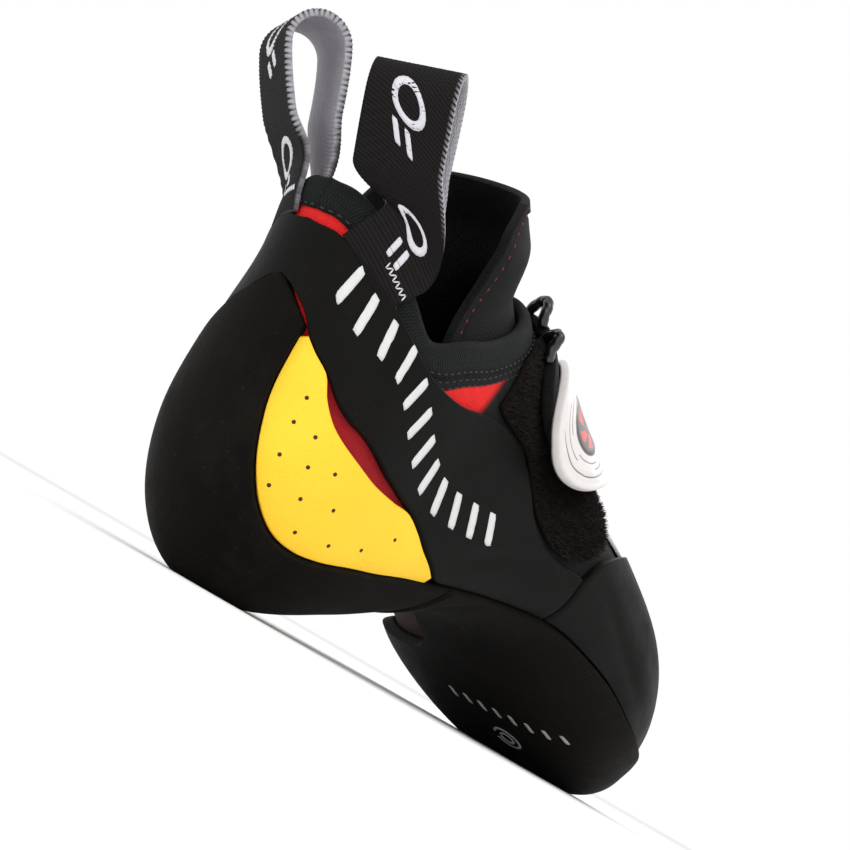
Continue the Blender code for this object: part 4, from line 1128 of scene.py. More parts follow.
def makeBand():
    stations = np.arange(len(band["upperRow"]), dtype=float)
    steps = np.linspace(0, stations[-1], band["steps"])
    names = ("upperRow", "upperTurn", "lowerRow")
    edges = {name: smooth(steps, stations, band[name]) for name in names}
    edges["lowerTurn"] = bandLowerTurn(edges["lowerRow"])
    both = {}
    for name, values in edges.items():
        sign = -1 if name.endswith("Turn") else 1
        both[name] = np.r_[sign * values[:0:-1], values]
    row = across(both["lowerRow"], both["upperRow"], band["count"])
    turn = across(both["lowerTurn"], both["upperTurn"], band["count"])

    return overlay("band_rubber", row, turn, bandRubber, band["thickness"], radius=band["edge"],
                   blunt=0.2, relief=creased(band["creases"]), node="heel_band")


bandPiece = makeBand()

rand = {
    "across": (0.0, 0.10, 0.16, 0.24, 0.36, 0.5, 0.64, 0.76, 0.84, 0.90, 1.0),
    "row": (7.10, 7.10, 6.95, 6.30, 5.30, 4.90, 5.30, 6.30, 6.95, 7.10, 7.10),
    "thickness": 0.0021, "steps": 120, "count": 110, "edge": 0.0010,
    "creases": (
        (((6.6, 0.70), (5.4, 0.71), (4.2, 0.725)), 0.005, 0.0007),
        (((6.9, 0.735), (5.9, 0.755), (4.8, 0.765)), 0.0022, 0.0004),
        (((6.4, 0.31), (5.2, 0.30), (4.3, 0.29)), 0.005, 0.0006),
        (((4.6, 0.60), (4.1, 0.50), (4.5, 0.40)), 0.0035, 0.0004),
    ),
}


def randTurn(row, share):
    edge = smooth(row, soleEdge["row"], soleEdge["turn"])
    return 1 - edge - share * (1 - 2 * edge)


def makeRand():
    share = evenAndEdges(rand["count"])[None, :]
    rear = np.minimum(smooth(share, rand["across"], rand["row"]), upper["bandFront"])
    front = outsole["front"]
    lines = np.linspace(front, upper["bandFront"], rand["steps"])[:, None]
    row = front + (lines - front) / (upper["bandFront"] - front) * (rear - front)

    overlay("rand_rubber", row, randTurn(row, share), bandRubber, rand["thickness"],
            radius=rand["edge"], blunt=0.2, relief=creased(rand["creases"]), node="toe_rand")


makeRand()
print("rubber")

# Coloured inlays


def makeInlay(side):
    line = np.linspace(inlay["row"][0] + inlay["tip"], inlay["tops"][side], inlay["steps"])
    way = -1 if side == "lateral" else 1
    rear = way * smooth(line, cup["row"], cup[side])
    front = way * smooth(line, inlay["row"], inlay["turn"])
    row = np.repeat(line[:, None], inlay["count"], axis=1)
    overlay("inlay_" + side + "_face", row, across(rear, front, inlay["count"]), yellowRubber,
            inlay["thickness"], radius=0.0008, blunt=0.2, node="heel_inlay_" + side)


for side in inlay["tops"]:
    makeInlay(side)
print("inlays")

# Vamp panel and fuzzy pad

vamp = {
    "across": (0.24, 0.30, 0.38, 0.44, 0.50, 0.60, 0.72, 0.80, 0.86),
    "row": (6.72, 6.80, 6.92, 7.10, 7.34, 7.42, 7.46, 7.46, 7.40),
    "thickness": 0.0010, "steps": 50, "count": 120,
}
share = np.linspace(0, 1, vamp["count"])
share = share[(share > vamp["across"][0]) & (share < vamp["across"][-1])]
front = smooth(share, rand["across"], rand["row"])
rear = smooth(share, vamp["across"], vamp["row"])
row = across(front, rear, vamp["steps"])
overlay("vamp_hide", row, randTurn(row, share[:, None]), whiteHide, vamp["thickness"],
        radius=0.0005, node="vamp_panel")

pad = {
    "row": (7.02, 7.3, 7.7, 8.3, 9.0, 9.5, 9.85, 10.15),
    "upperTurn": (0.620, 0.570, 0.550, 0.535, 0.535, 0.540, 0.555, 0.600),
    "lowerTurn": (0.700, 0.738, 0.746, 0.722, 0.672, 0.663, 0.662, 0.660),
    "thickness": 0.0014, "steps": 60, "count": 34,
    "density": 9.0e6, "fibre": 0.00016, "length": 0.0017, "border": 0.0006,
}
row, turn = stripNet(pad, "upperTurn", "lowerTurn", pad["steps"], pad["count"])
overlay("pad_cloth", row, turn, padCloth, pad["thickness"], radius=0.0012, node="loop_pad")


def makePile():
    # short fibres over the pad's face
    line, turns = stripNet(pad, "upperTurn", "lowerTurn", pad["steps"], pad["count"])
    line, turns = inset(line, turns, pad["border"])
    points = form.at(line, turns, np.full(line.shape, gap + pad["thickness"] * 0.85))
    faces, _ = gridFaces(*line.shape)
    carrier = makeObject("pad_pile", points.reshape(-1, 3), faces.tolist(), pileFibre, turn=False)
    _, out = form.frame(line[0, 0], turns[0, 0])
    if carrier.data.polygons[0].normal.dot(Vector(out)) < 0:
        carrier.data.flip_normals()
    runTree("pad_pile", carrier, pileTree, pileFibre, Density=pad["density"],
            Length=pad["fibre"], Width=pad["fibre"], Height=pad["length"])


makePile()
print("vamp and pad")

# Strap, badge and cord loops

strap = {
    "turn": (0.338, 0.36, 0.39, 0.44, 0.50, 0.55, 0.590, 0.620, 0.645, 0.660),
    "frontRow": (8.15, 7.95, 7.75, 7.65, 7.60, 7.55, 7.58, 7.70, 7.98, 8.35),
    "rearRow": (9.35, 9.45, 9.60, 9.70, 9.78, 9.80, 9.72, 9.55, 9.20, 8.80),
    "lift": (0.0, 0.60, 0.70, 0.75, 1.0, 1.1, 1.4, 1.8, 2.2, 2.5),
    "slant": (-0.050, -0.035, -0.015, 0.0, 0.0, 0.0, 0.0, 0.0, 0.0, 0.0),
    "thickness": 0.0024, "steps": 110, "count": 44,
    "hem": 0.0042, "hemRise": 0.0005, "hemStep": 0.0006,
    "groove": 0.0045, "grooveDepth": 0.0004, "grooveWidth": 0.0004,
}


def strapBottom(turn):
    # on the upper at its root, over the slot's binding, then on the pad and standing off it
    lift = smooth(turn, strap["turn"], strap["lift"])
    return gap + np.maximum(lift, 0) * (pad["thickness"] + gap)


def makeStrap():
    line = np.linspace(strap["turn"][0], strap["turn"][-1], strap["steps"])
    front = smooth(line, strap["turn"], strap["frontRow"])
    rear = smooth(line, strap["turn"], strap["rearRow"])
    slant = smooth(line, strap["turn"], strap["slant"])
    row = across(front, rear, strap["count"])
    turn = across(line + slant, line, strap["count"])

    def relief(where):
        # a sewn hem along both sides
        side = np.minimum(where["low"], where["high"])
        raised = strap["hemRise"] * ease((strap["hem"] - side) / strap["hemStep"])
        return raised - groove(side - strap["groove"], strap["grooveWidth"], strap["grooveDepth"])

    overlay("strap_cloth", row, turn, strapCloth, strap["thickness"],
            bottom=lambda r, t: strapBottom(t), radius=0.0009, blunt=0.35, relief=relief,
            node="strap")


makeStrap()


def makeBadge():
    row, turn = badge["place"]
    step = 0.05
    here, _ = form.frame(row, turn)
    along = np.linalg.norm(form.frame(row + step, turn)[0] - here) / step
    around = np.linalg.norm(form.frame(row, turn + step)[0] - here) / step
    rings = np.linspace(0, 1, badge["rings"] + 1)[1:]
    rings = np.append(rings[:-1], (0.975, 0.99, 1.0))  # more rings where the edge rolls over
    angles = np.linspace(0, 2 * np.pi, badge["sides"], endpoint=False)
    ring, angle = np.meshgrid(rings, angles, indexing="ij")
    r = row + ring * badge["diameter"] / 2 * np.cos(angle) / along
    t = turn + ring * badge["diameter"] / 2 * np.sin(angle) / around
    foot = strapBottom(t) + strap["thickness"] + gap * 0.4
    middleFoot = strapBottom(turn) + strap["thickness"] + gap * 0.4
    rollFrom = badge["rollFrom"]
    roll = np.sqrt(np.clip(1 - ((ring - rollFrom) / (1 - rollFrom)) ** 2, 0, 1))
    roll = np.where(ring < rollFrom, 1.0, roll)
    lip = badge["lip"] * ease((ring - 0.90) / 0.02)
    lip = lip + badge["boss"] * ease((badge["patch"] - ring) / 0.02)
    for level in badge["contours"]:
        lip = lip - groove(ring - level, 0.012, badge["groove"])
    height = foot + (badge["thickness"] + lip) * (0.25 + 0.75 * roll)
    top = form.at(r, t, height)
    bottom = form.at(r, t, foot)
    middleTop = form.at(row, turn, middleFoot + badge["thickness"])
    middleBottom = form.at(row, turn, middleFoot)
    count = len(rings) * badge["sides"]
    middles = np.array([middleTop, middleBottom])
    points = np.vstack([top.reshape(-1, 3), bottom.reshape(-1, 3), middles])
    net, number = gridFaces(len(rings), badge["sides"], ring=True)
    faces = net.tolist() + (net[:, ::-1] + count).tolist()
    for a, b in zip(number[-1, :-1], number[-1, 1:]):
        faces.append((int(a), int(b), int(b) + count, int(a) + count))
    for a, b in zip(number[0, :-1], number[0, 1:]):
        faces.append((2 * count, int(a), int(b)))
        faces.append((2 * count + 1, int(b) + count, int(a) + count))
    polar = np.stack([ring, angle / (2 * np.pi)], axis=-1).reshape(-1, 2)
    polar = np.vstack([polar, polar, [[0, 0]], [[0, 0]]])
    under = np.r_[np.zeros(count), np.ones(count), 0, 1]
    piece = makeObject("badge_face", points, faces, badgeFace, {"polar": polar}, {"under": under})
    # the seam's corners go on to a whole turn
    mesh = piece.data
    layer = mesh.uv_layers["polar"].data
    for face in mesh.polygons:
        spread = [layer[k].uv[1] for k in face.loop_indices]
        if max(spread) - min(spread) > 0.5:
            for k in face.loop_indices:
                if layer[k].uv[1] < 0.5:
                    layer[k].uv[1] += 1.0
    keep(piece, "strap_badge")


makeBadge()


keepers = {
    "ends": {"keeper_loop_inner": (0.512, 0.538), "keeper_loop_outer": (0.556, 0.582)},
    "share": (0.0, 0.15, 0.32, 0.5, 0.68, 0.85, 1.0),
    "back": (0.0, 0.14, 0.26, 0.31, 0.26, 0.14, 0.0),
    "rise": (0.0, 0.0010, 0.0028, 0.0036, 0.0028, 0.0010, 0.0),
    "cord": 0.0028, "set": 0.06,  # rows that its ends are sewn into the strap's edge
    "steps": 60, "sides": 14, "plait": 0.05, "plaits": 40,
}


def keeperPath(node):
    first, last = keepers["ends"][node]
    share = np.linspace(0, 1, keepers["steps"])
    turn = first + share * (last - first)
    edge = smooth(turn, strap["turn"], strap["rearRow"])
    step = 0.1
    ahead = form.frame(edge + step, turn)[0] - form.frame(edge, turn)[0]
    rate = np.linalg.norm(ahead, axis=1) / step
    back = smooth(share, keepers["share"], keepers["back"])
    rise = smooth(share, keepers["share"], keepers["rise"])
    height = strapBottom(turn) + strap["thickness"] / 2 + rise
    row = edge + (gap + keepers["cord"] / 4) / rate + back - keepers["set"]
    return form.at(row, turn, height)


def makeKeeper(node):
    # a round cord along its path, slightly plaited, with closed ends
    path = keeperPath(node)
    sides = keepers["sides"]
    slope = unit(np.gradient(path, axis=0))
    side = unit(np.cross(slope[0], (0, 0, 1.0)))
    swing = np.linspace(0, 2 * np.pi, sides, endpoint=False)
    rings = []
    for k, (point, ahead) in enumerate(zip(path, slope)):
        side = unit(side - ahead * (side @ ahead))
        up = np.cross(ahead, side)
        turned = 2 * swing + k / (len(path) - 1) * keepers["plaits"]
        size = keepers["cord"] / 2 * (1 + keepers["plait"] * np.cos(turned))
        aside = np.outer(np.cos(swing) * size, side)
        rings.append(point + aside + np.outer(np.sin(swing) * size, up))
    count = len(path) * sides
    faces, number = gridFaces(len(path), sides, ring=True)
    faces = faces.tolist()
    for a, b in zip(number[0, :-1], number[0, 1:]):
        faces.append((count, int(b), int(a)))
    for a, b in zip(number[-1, :-1], number[-1, 1:]):
        faces.append((count + 1, int(a), int(b)))
    points = np.vstack([np.array(rings).reshape(-1, 3), path[:1], path[-1:]])
    keep(makeObject(node + "_cord", points, faces, cordSkin), node)


for node in keepers["ends"]:
    makeKeeper(node)
print("strap")

# Tongue

tongue = {
    "row": (6.9, 7.6, 8.6, 9.6, 10.6, 11.6, 12.4, 13.1, 13.8, 14.4, 14.85),
    "medialTurn": (0.40, 0.36, 0.32, 0.30, 0.28, 0.27, 0.265, 0.27, 0.29, 0.32, 0.37),
    "lateralTurn": (0.60, 0.64, 0.67, 0.69, 0.71, 0.725, 0.715, 0.695, 0.690, 0.675, 0.63),
    "sewn": 7.5, "free": 8.0, "thickness": 0.0016, "steps": 120, "count": 90,
    "hem": 0.0058, "hemRise": 0.0006, "hemStep": 0.0005,
    "groove": 0.0062, "grooveDepth": 0.0003, "grooveWidth": 0.0004,
    # how far it stands forward above the collar, and the rows over which it comes there
    "swell": 0.0055, "swellFrom": 10.4, "pastRim": 0.4, "swellRows": 2.2,
}
binding = {
    "width": 0.0034, "rise": 0.0030, "leg": 0.0042,  # leg: how far the tape reaches down the wall
    "skin": 0.00042, "tape": 0.0004, "swell": 0.0003,  # tape: its thickness beside the wall
}


def tongueBottom(row, turn):
    # sewn close under the upper in front, then low enough to pass the slot's binding
    low = np.clip((row - tongue["sewn"]) / (tongue["free"] - tongue["sewn"]), 0, 1)
    under = gap + low * (binding["width"] - wall) / 2
    top = np.maximum(smooth(turn, rim["turn"], rim["row"]), tongue["swellFrom"])
    past = ease((row - top - tongue["pastRim"]) / tongue["swellRows"])
    return tongue["swell"] * past - (wall + under + tongue["thickness"])


def makeTongue():
    row, turn = stripNet(tongue, "medialTurn", "lateralTurn", tongue["steps"], tongue["count"])

    def relief(where):
        # a turned hem along the free edges, with a line of sewing beside it
        hem = np.minimum(np.minimum(where["low"], where["high"]), where["end"])
        raised = tongue["hemRise"] * ease((tongue["hem"] - hem) / tongue["hemStep"])
        return raised - groove(hem - tongue["groove"], tongue["grooveWidth"], tongue["grooveDepth"])

    overlay("tongue_knit", row, turn, knitCloth, tongue["thickness"], bottom=tongueBottom,
            radius=0.0008, blunt=0.4, relief=relief, node="tongue")


makeTongue()
print("tongue")

# Binding along the rim


def rimFrame(turn):
    # the rim's middle, and the ways along it, out of the wall, and up past its edge
    turn = np.asarray(turn, float)
    row = smooth(np.mod(turn, 1.0), rim["turn"], rim["row"])
    step = 0.004
    ahead = smooth(np.mod(turn + step, 1.0), rim["turn"], rim["row"])
    behind = smooth(np.mod(turn - step, 1.0), rim["turn"], rim["row"])
    middle = form.at(row, turn, np.full(turn.shape, -wall / 2))
    _, out = form.frame(row, turn)
    along = form.at(ahead, turn + step, np.full(turn.shape, -wall / 2))
    along = unit(along - form.at(behind, turn - step, np.full(turn.shape, -wall / 2)))
    up = unit(np.cross(along, out))
    inward, _ = form.frame(row - 0.1, turn)
    outward, _ = form.frame(row, turn)
    if ((outward - inward) * up).sum() < 0:
        up = -up
    return middle, along, out, up


def bindingProfile():
    # across the folded tape: how far out of the wall's middle, and how far past its edge
    half = binding["width"] / 2
    leg = binding["leg"]
    skin = wall / 2 + binding["skin"]
    tape, swell = binding["tape"], binding["swell"]
    flank = ((skin, -leg), (skin + swell * 2 / 3, -0.6 * leg), (skin + swell, -0.1 * leg))
    profile = [(-x, z) for x, z in flank]
    for swing in np.linspace(0, np.pi, 11):
        rise = gap + binding["rise"] * (0.25 + 0.75 * math.sin(swing))
        profile.append((-half * math.cos(swing), rise))
    profile += flank[::-1]
    profile += [(skin - tape, -leg), (skin - tape, 0.0), (tape - skin, 0.0), (tape - skin, -leg)]
    return profile


def makeBinding():
    middle, _, out, up = rimFrame(rimLines()[:-1])
    profile = bindingProfile()
    net = np.array([middle + out * x + up * z for x, z in profile])
    turnings, lines = net.shape[:2]
    faces, _ = gridFaces(turnings, lines, ring=True)
    last = (turnings - 1) * lines
    closing = []
    for j in range(lines):
        n = (j + 1) % lines
        closing.append((last + j, j, n, last + n))
    run = np.repeat(lengthAlong(middle)[None, :], turnings, axis=0)
    way = np.repeat(np.arange(turnings)[:, None] * 0.0006, lines, axis=1)
    lay = np.stack([run, way], axis=-1).reshape(-1, 2)
    piece = makeObject("binding_tape", net.reshape(-1, 3), faces.tolist() + closing, tapeCloth,
                       {"lay": lay})
    keep(piece, "collar_binding")


makeBinding()
print("binding")

# Pull loops

loops = {
    "medial": {
        "turn": 0.0925, "lean": (-0.37, 0.29, 0.88), "swing": 0.0,
        "node": "pull_loop_medial",
    },
    "lateral": {
        "turn": 0.8780, "lean": (-0.385, 0.09, 0.92), "swing": -17.0,
        "node": "pull_loop_lateral",
    },
}


def loopOutline():
    # the loop's outline from one foot over its top to the other: how far out, and how high
    foot = binding["width"] / 2 + gap + webbing["thickness"] / 2
    crown = webbing["spread"] / 2
    rise = np.linspace(0, 1, webbing["legSteps"])[:-1]
    swing = np.linspace(0, np.pi / 2, webbing["crownSteps"])
    reach = np.r_[foot + (crown - foot) * ease(rise), crown * np.cos(swing)]
    leg = webbing["height"] - crown
    height = np.r_[leg * rise, leg + crown * np.sin(swing)]
    down = np.linspace(-webbing["root"], 0, webbing["rootSteps"])[:-1]
    start = wall / 2 + gap + webbing["thickness"] / 2
    settled = foot + (start - foot) * ease(-down / webbing["root"])
    return np.r_[settled, reach, -reach[-2::-1]], np.r_[down, height, height[-2::-1]]


def loopWays(word):
    # the rim's middle at the loop, and the ways up the loop, across it and out of it
    lean = unit(np.array(loops[word]["lean"]))
    middle, along, out, _ = (v[0] for v in rimFrame(np.array([loops[word]["turn"]])))
    wide = unit(along - lean * (along @ lean))
    openWay = np.cross(wide, lean)
    if openWay @ out < 0:
        openWay = -openWay
    swing = math.radians(loops[word]["swing"])
    return (
        middle, lean,
        wide * math.cos(swing) + openWay * math.sin(swing),
        openWay * math.cos(swing) - wide * math.sin(swing),
    )


def makeLoop(word):
    # the feet follow the rim's bend, and the top is straight across
    root = loops[word]["turn"]
    step = 0.01
    ends, _, _, _ = rimFrame(np.array([root - step, root + step]))
    rate = np.linalg.norm(ends[1] - ends[0]) / (2 * step)
    widths = np.linspace(-0.5, 0.5, webbing["strands"]) * webbing["width"]
    feet, _, outs, ups = rimFrame(root + widths / rate)
    middle, lean, wide, openWay = loopWays(word)
    reach, height = loopOutline()
    settled = (height - gap - binding["rise"]) / (webbing["straight"] * webbing["height"])
    settle = ease(settled)[:, None]
    strands = []
    for width, foot, footOut, footUp in zip(widths, feet, outs, ups):
        bent = foot + np.outer(reach, footOut) + np.outer(height, footUp)
        flat = middle + wide * width + np.outer(reach, openWay) + np.outer(height, lean)
        strands.append(bent * (1 - settle) + flat * settle)
    centre = np.array(strands)
    face = unit(np.cross(np.gradient(centre, axis=1), np.gradient(centre, axis=0)))
    half = len(widths) // 2
    if face[half, 2] @ outs[half] < 0:
        face = -face
    run = walked(centre.transpose(1, 0, 2)).T
    rib = webbing["rib"] * np.cos(2 * np.pi * run / webbing["pitch"])[..., None]
    outer = centre + face * (webbing["thickness"] / 2 + rib)
    inner = centre - face * webbing["thickness"] / 2
    way = np.repeat(widths[:, None], run.shape[1], axis=1) + webbing["width"] / 2
    edge = np.zeros(run.shape)
    edge[0] = ease((height - webbing["beadFrom"]) / 0.004)
    piece = closeShell("loop_" + word + "_webbing", outer, inner, webbingWeave,
                       np.stack([run, way], axis=-1), {"selvedge": edge})
    keep(piece, loops[word]["node"])
    return {"outer": outer, "face": face, "run": run, "widths": widths}


loopShapes = {word: makeLoop(word) for word in loops}
print("pull loops")

# Print, pinholes and sewing

marks = {
    "bandPath": ((14.17, 0.926), (12.08, 0.785), (8.64, 0.768)),
    "bars": 12, "barWidth": 0.0026, "barHeight": 0.0086, "slant": -0.30,
    "solePath": ((5.14, 0.034), (5.20, -0.060), (5.17, -0.147)),
    "soleBars": 8, "soleWidth": 0.0015, "soleHeight": 0.0040,
    "solePlace": ((4.62, -0.055), (4.60, -0.035)), "soleRing": 0.0046, "soleStroke": 0.0009,
    "pinholes": ((12.76, 0.911), (12.51, 0.915), (12.26, 0.889), (12.16, 0.918), (11.90, 0.889),
                 (11.65, 0.862), (11.81, 0.921), (11.53, 0.892), (11.16, 0.862), (11.11, 0.896),
                 (10.65, 0.870), (10.21, 0.846), (9.94, 0.818)),
    "pinhole_shade": 0.00052, "border": 0.008, "lastMedialRow": 12.0,
}


def barRow(piece, path, bars, width, height):
    stops = (np.arange(bars) + 0.5) / bars
    return printAlong(piece, path, stops, [slantedBar(width, height, marks["slant"])])


def printMarks():
    # plain bars along the band, and a row of bars and two rings on the front sole
    bars = barRow(bandPiece, marks["bandPath"], marks["bars"], marks["barWidth"],
                  marks["barHeight"])
    joinShells("band_bars", bars, printFilm)
    shells = barRow(outsolePiece, marks["solePath"], marks["soleBars"], marks["soleWidth"],
                    marks["soleHeight"])
    radius, stroke = marks["soleRing"], marks["soleStroke"]
    rings = [openRing(radius, stroke, 20, 320), openRing(radius * 0.5, stroke, 0, 340)]
    shells += printAlong(outsolePiece, marks["solePlace"], [0.5], rings)
    joinShells("sole_marks", shells, soleFilm)


printMarks()


def makePinholes(side):
    # small dark spots for the pits in the inlay, their dark colour painted shade of the holes, on
    # the medial side only where there is room for them
    row, turn = np.array(marks["pinholes"]).T
    if side == "medial":
        turn = 1 - turn
        inside = turn - smooth(row, cup["row"], cup["medial"]) > marks["border"]
        inside &= row < marks["lastMedialRow"]
        row, turn = row[inside], turn[inside]
    point = form.at(row, turn, np.full(row.shape, gap + inlay["thickness"]))
    here, out = form.frame(row, turn)
    ahead, _ = form.frame(row + 0.05, turn)
    size = marks["pinhole_shade"]
    stitchRun("inlay_" + side + "_pinholes", [(point, ahead - here, out)], pinholeShadeLook,
              size, size, size * 0.25)


for side in inlay["tops"]:
    makePinholes(side)


sewing = {
    "facing": (0.0056, 0.0072), "facingTurns": (0.60, 0.80), "facingRise": 0.00008,  # below the rim
    "facingStep": 0.0026, "tapeLine": 0.0035, "tapeRise": 0.0008, "tapeStep": 0.0024,
    "strapInward": 0.15, "strapEnds": (0.01, 0.03), "strapRise": 0.00035, "strapStep": 0.0024,
    "tongueRows": (12.0, 14.7), "tongueInward": 0.0046, "tongueRise": 0.00065,
    "tongueStep": 0.0030,
    # length, width and height of a stitch
    "black": (0.0009, 0.00022, 0.00018), "tape": (0.0008, 0.00022, 0.00018),
    "red": (0.0005, 0.00020, 0.00018), "white": (0.00085, 0.0002, 0.00016),
}


def beside(turns, distance):
    # places at a distance below the rim
    row = smooth(np.mod(turns, 1.0), rim["turn"], rim["row"])
    ahead = form.frame(row, turns)[0] - form.frame(row - 0.1, turns)[0]
    rate = np.linalg.norm(ahead, axis=1) / 0.1
    return list(zip(row - distance / rate, turns))


def sewRim():
    turns = np.linspace(*sewing["facingTurns"], 16)
    runs = [
        surfaceRun(beside(turns, distance), sewing["facingRise"], sewing["facingStep"])
        for distance in sewing["facing"]
    ]
    stitchRun("facing_stitches", runs, blackThread, *sewing["black"])
    path = beside(np.linspace(0.0, 1.0, 90), sewing["tapeLine"])
    run = surfaceRun(path, sewing["tapeRise"], sewing["tapeStep"])
    stitchRun("binding_stitches", [run], blackThread, *sewing["tape"])


def strapTop(row, turn):
    return strapBottom(turn) + strap["thickness"] + sewing["strapRise"]


def sewStrap():
    first, last = sewing["strapEnds"]
    turns = np.linspace(strap["turn"][0] + first, strap["turn"][-1] - last, 24)
    runs = []
    for edge, inward in (("frontRow", sewing["strapInward"]), ("rearRow", -sewing["strapInward"])):
        path = list(zip(smooth(turns, strap["turn"], strap[edge]) + inward, turns))
        runs.append(surfaceRun(path, strapTop, sewing["strapStep"]))
    stitchRun("strap_stitches", runs, blackThread, *sewing["black"])


def tongueTop(row, turn):
    return tongueBottom(row, turn) + tongue["thickness"] + sewing["tongueRise"]


def sewTongue():
    rows = np.linspace(*sewing["tongueRows"], 20)
    turn = smooth(rows, tongue["row"], tongue["lateralTurn"])
    ahead = form.frame(rows, turn)[0] - form.frame(rows, turn - 0.02)[0]
    rate = np.linalg.norm(ahead, axis=1) / 0.02
    path = list(zip(rows, turn - sewing["tongueInward"] / rate))
    run = surfaceRun(path, tongueTop, sewing["tongueStep"])
    stitchRun("tongue_stitches", [run], redThread, *sewing["red"])


sewRim()
sewStrap()
sewTongue()

motifs = {
    "medial": (0.0150, 0.0440), "lateral": (0.0135, 0.0420),  # metres up the strip from its end
    "ring": 0.0036, "ringUp": 0.0024, "stroke": 0.0015,
    "bar": 0.0044, "barsUp": -0.0050, "barsAcross": 0.0016, "slant": 0.4,
    "proud": 0.0001, "sunk": 0.0003,
    "zigzag": {"medial": (-0.009, -0.002), "lateral": (-0.0095, -0.001)},
    "zigzagRun": (0.0045, 0.0062), "zigzags": 12,
}


def onLoop(word, along, aside, lift):
    # points on a loop's outer face by the way walked up it and the way across it
    shape = loopShapes[word]
    last = len(shape["widths"]) - 1
    width = np.interp(aside, shape["widths"], np.arange(last + 1))
    low = np.clip(width.astype(int), 0, last - 1)
    points = []
    for w, k, way in zip(width.ravel(), low.ravel(), along.ravel()):
        pair = []
        for strand in (k, k + 1):
            net = shape["outer"][strand] + shape["face"][strand] * lift
            pair.append(atStops(way, shape["run"][strand], net)[0])
        points.append(pair[0] * (1 - w + k) + pair[1] * (w - k))
    return np.array(points).reshape(*along.shape, 3)


def makeMotifs(word):
    # plain rings over two slanted bars, woven into the outer face
    stroke = motifs["stroke"]
    shapes = [openRing(motifs["ring"], stroke, 0, 360, 0.0, motifs["ringUp"])]
    for across in (-motifs["barsAcross"], motifs["barsAcross"]):
        shapes.append(slantedBar(stroke, motifs["bar"], motifs["slant"], across, motifs["barsUp"]))
    shells = []
    for place in motifs[word]:
        for outline in shapes:
            along, aside = place + outline[..., 1], outline[..., 0]
            shells.append((
                onLoop(word, along, aside, motifs["proud"]),
                onLoop(word, along, aside, -motifs["sunk"]),
            ))
    joinShells("loop_" + word + "_motifs", shells, whiteThread)


def makeZigzag(word):
    # places and directions of the stitches that hold the outer leg down
    low, high = motifs["zigzag"][word]
    count = motifs["zigzags"]
    width = np.linspace(low, high, count)
    way = np.where(np.arange(count) % 2 == 0, *motifs["zigzagRun"])
    line = onLoop(word, way, width, motifs["proud"])
    normal = onLoop(word, way, width, motifs["proud"] + 0.001) - line
    return (line[1:] + line[:-1]) / 2, line[1:] - line[:-1], normal[1:]


for word in loops:
    makeMotifs(word)
zigzags = [makeZigzag(word) for word in loops]
stitchRun("loop_root_stitches", zigzags, whiteThread, *sewing["white"])
print("print and sewing")

# Stage, light and camera

camera = {
    "turn": 35.0, "roll": 29.5,  # degrees round from behind, and of roll
    "distance": 0.50, "height": 0.004,  # from the target, and over the floor
    "target": (0.085, 0.0, 0.050), "scale": 3720.0,  # a point inside, and pixels a metre there
    "pixel": (486.0, 531.0), "size": 850.0,  # where that point shows, and the picture's side
    "film": 36.0,
}


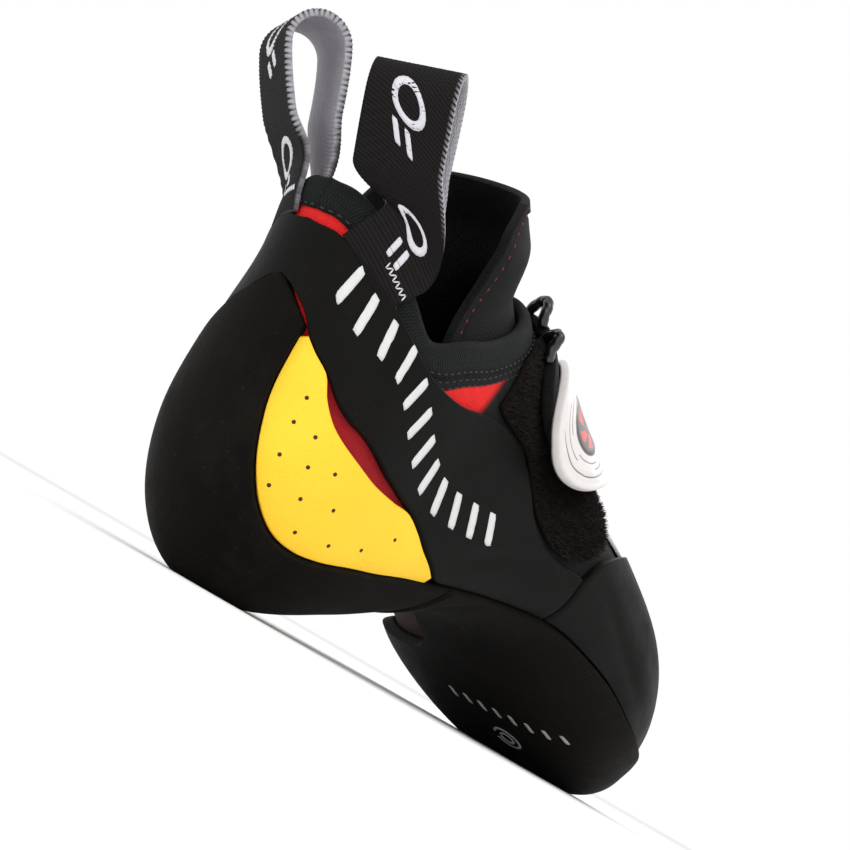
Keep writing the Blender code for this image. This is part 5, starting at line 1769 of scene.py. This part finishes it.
def makeCamera():
    turn, roll = math.radians(camera["turn"]), math.radians(camera["roll"])
    target = Vector(camera["target"])
    climb = math.asin((target.z - camera["height"]) / camera["distance"])
    flat = math.cos(climb)
    ahead = Vector((math.cos(turn) * flat, math.sin(turn) * flat, math.sin(climb)))
    level = ahead.cross(Vector((0, 0, 1))).normalized()
    above = level.cross(ahead)
    axisX = level * math.cos(roll) + above * math.sin(roll)
    axisY = above * math.cos(roll) - level * math.sin(roll)
    place = target - ahead * camera["distance"]
    half = camera["size"] / 2
    aim = target + axisX * ((half - camera["pixel"][0]) / camera["scale"])
    aim = aim + axisY * ((camera["pixel"][1] - half) / camera["scale"])
    back = (place - aim).normalized()
    axisX = (axisX - back * axisX.dot(back)).normalized()
    axisY = back.cross(axisX)
    data = bpy.data.cameras.new("camera")
    data.sensor_width = camera["film"]
    data.lens = camera["scale"] * camera["distance"] * camera["film"] / camera["size"]
    data.clip_start = 0.01
    eye = bpy.data.objects.new("camera", data)
    matrix = Matrix.Identity(4)
    for k, axis in enumerate((axisX, axisY, back)):
        matrix.col[k][:3] = axis
    matrix.col[3][:3] = place
    eye.matrix_world = matrix
    bpy.context.scene.camera = link(eye)


studio = {
    "floor": (0.86, 0.86, 0.86), "reach": 12.0, "sky": (1.0, 1.0, 1.0, 1.0), "skyStrength": 1.0,
    # name, place, aim, size and watts
    "lights": (
        ("key", (-0.6, -0.9, 1.1), (0.05, 0.0, 0.05), 0.9, 7.0),
        ("fill", (-1.1, 0.5, 0.7), (0.05, 0.0, 0.05), 0.9, 3.0),
        ("rim", (0.9, 0.3, 0.9), (0.08, 0.0, 0.06), 0.6, 4.0),
    ),
}


def areaLight(name, place, aim, size, power):
    data = bpy.data.lights.new(name, "AREA")
    data.size = size
    data.energy = power
    lamp = link(bpy.data.objects.new(name, data))
    lamp.location = place
    lamp.rotation_mode = "QUATERNION"
    lamp.rotation_quaternion = (Vector(aim) - Vector(place)).to_track_quat("-Z", "Y")


def makeStage():
    look = Look("floor", None, Base_Color=studio["floor"], Roughness=0.9)
    mesh = bpy.data.meshes.new("floor")
    reach = studio["reach"]
    corners = [(-reach, -reach, 0), (reach, -reach, 0), (reach, reach, 0), (-reach, reach, 0)]
    mesh.from_pydata(corners, [], [(0, 1, 2, 3)])
    mesh.materials.append(look.material)
    link(bpy.data.objects.new("floor", mesh))
    world = bpy.data.worlds.new("studio")
    world.use_nodes = True
    sky = world.node_tree.nodes["Background"].inputs
    sky["Color"].default_value = studio["sky"]
    sky["Strength"].default_value = studio["skyStrength"]
    bpy.context.scene.world = world
    bpy.context.scene.view_settings.view_transform = "Standard"
    for light in studio["lights"]:
        areaLight(*light)


makeStage()
makeCamera()

print("done")
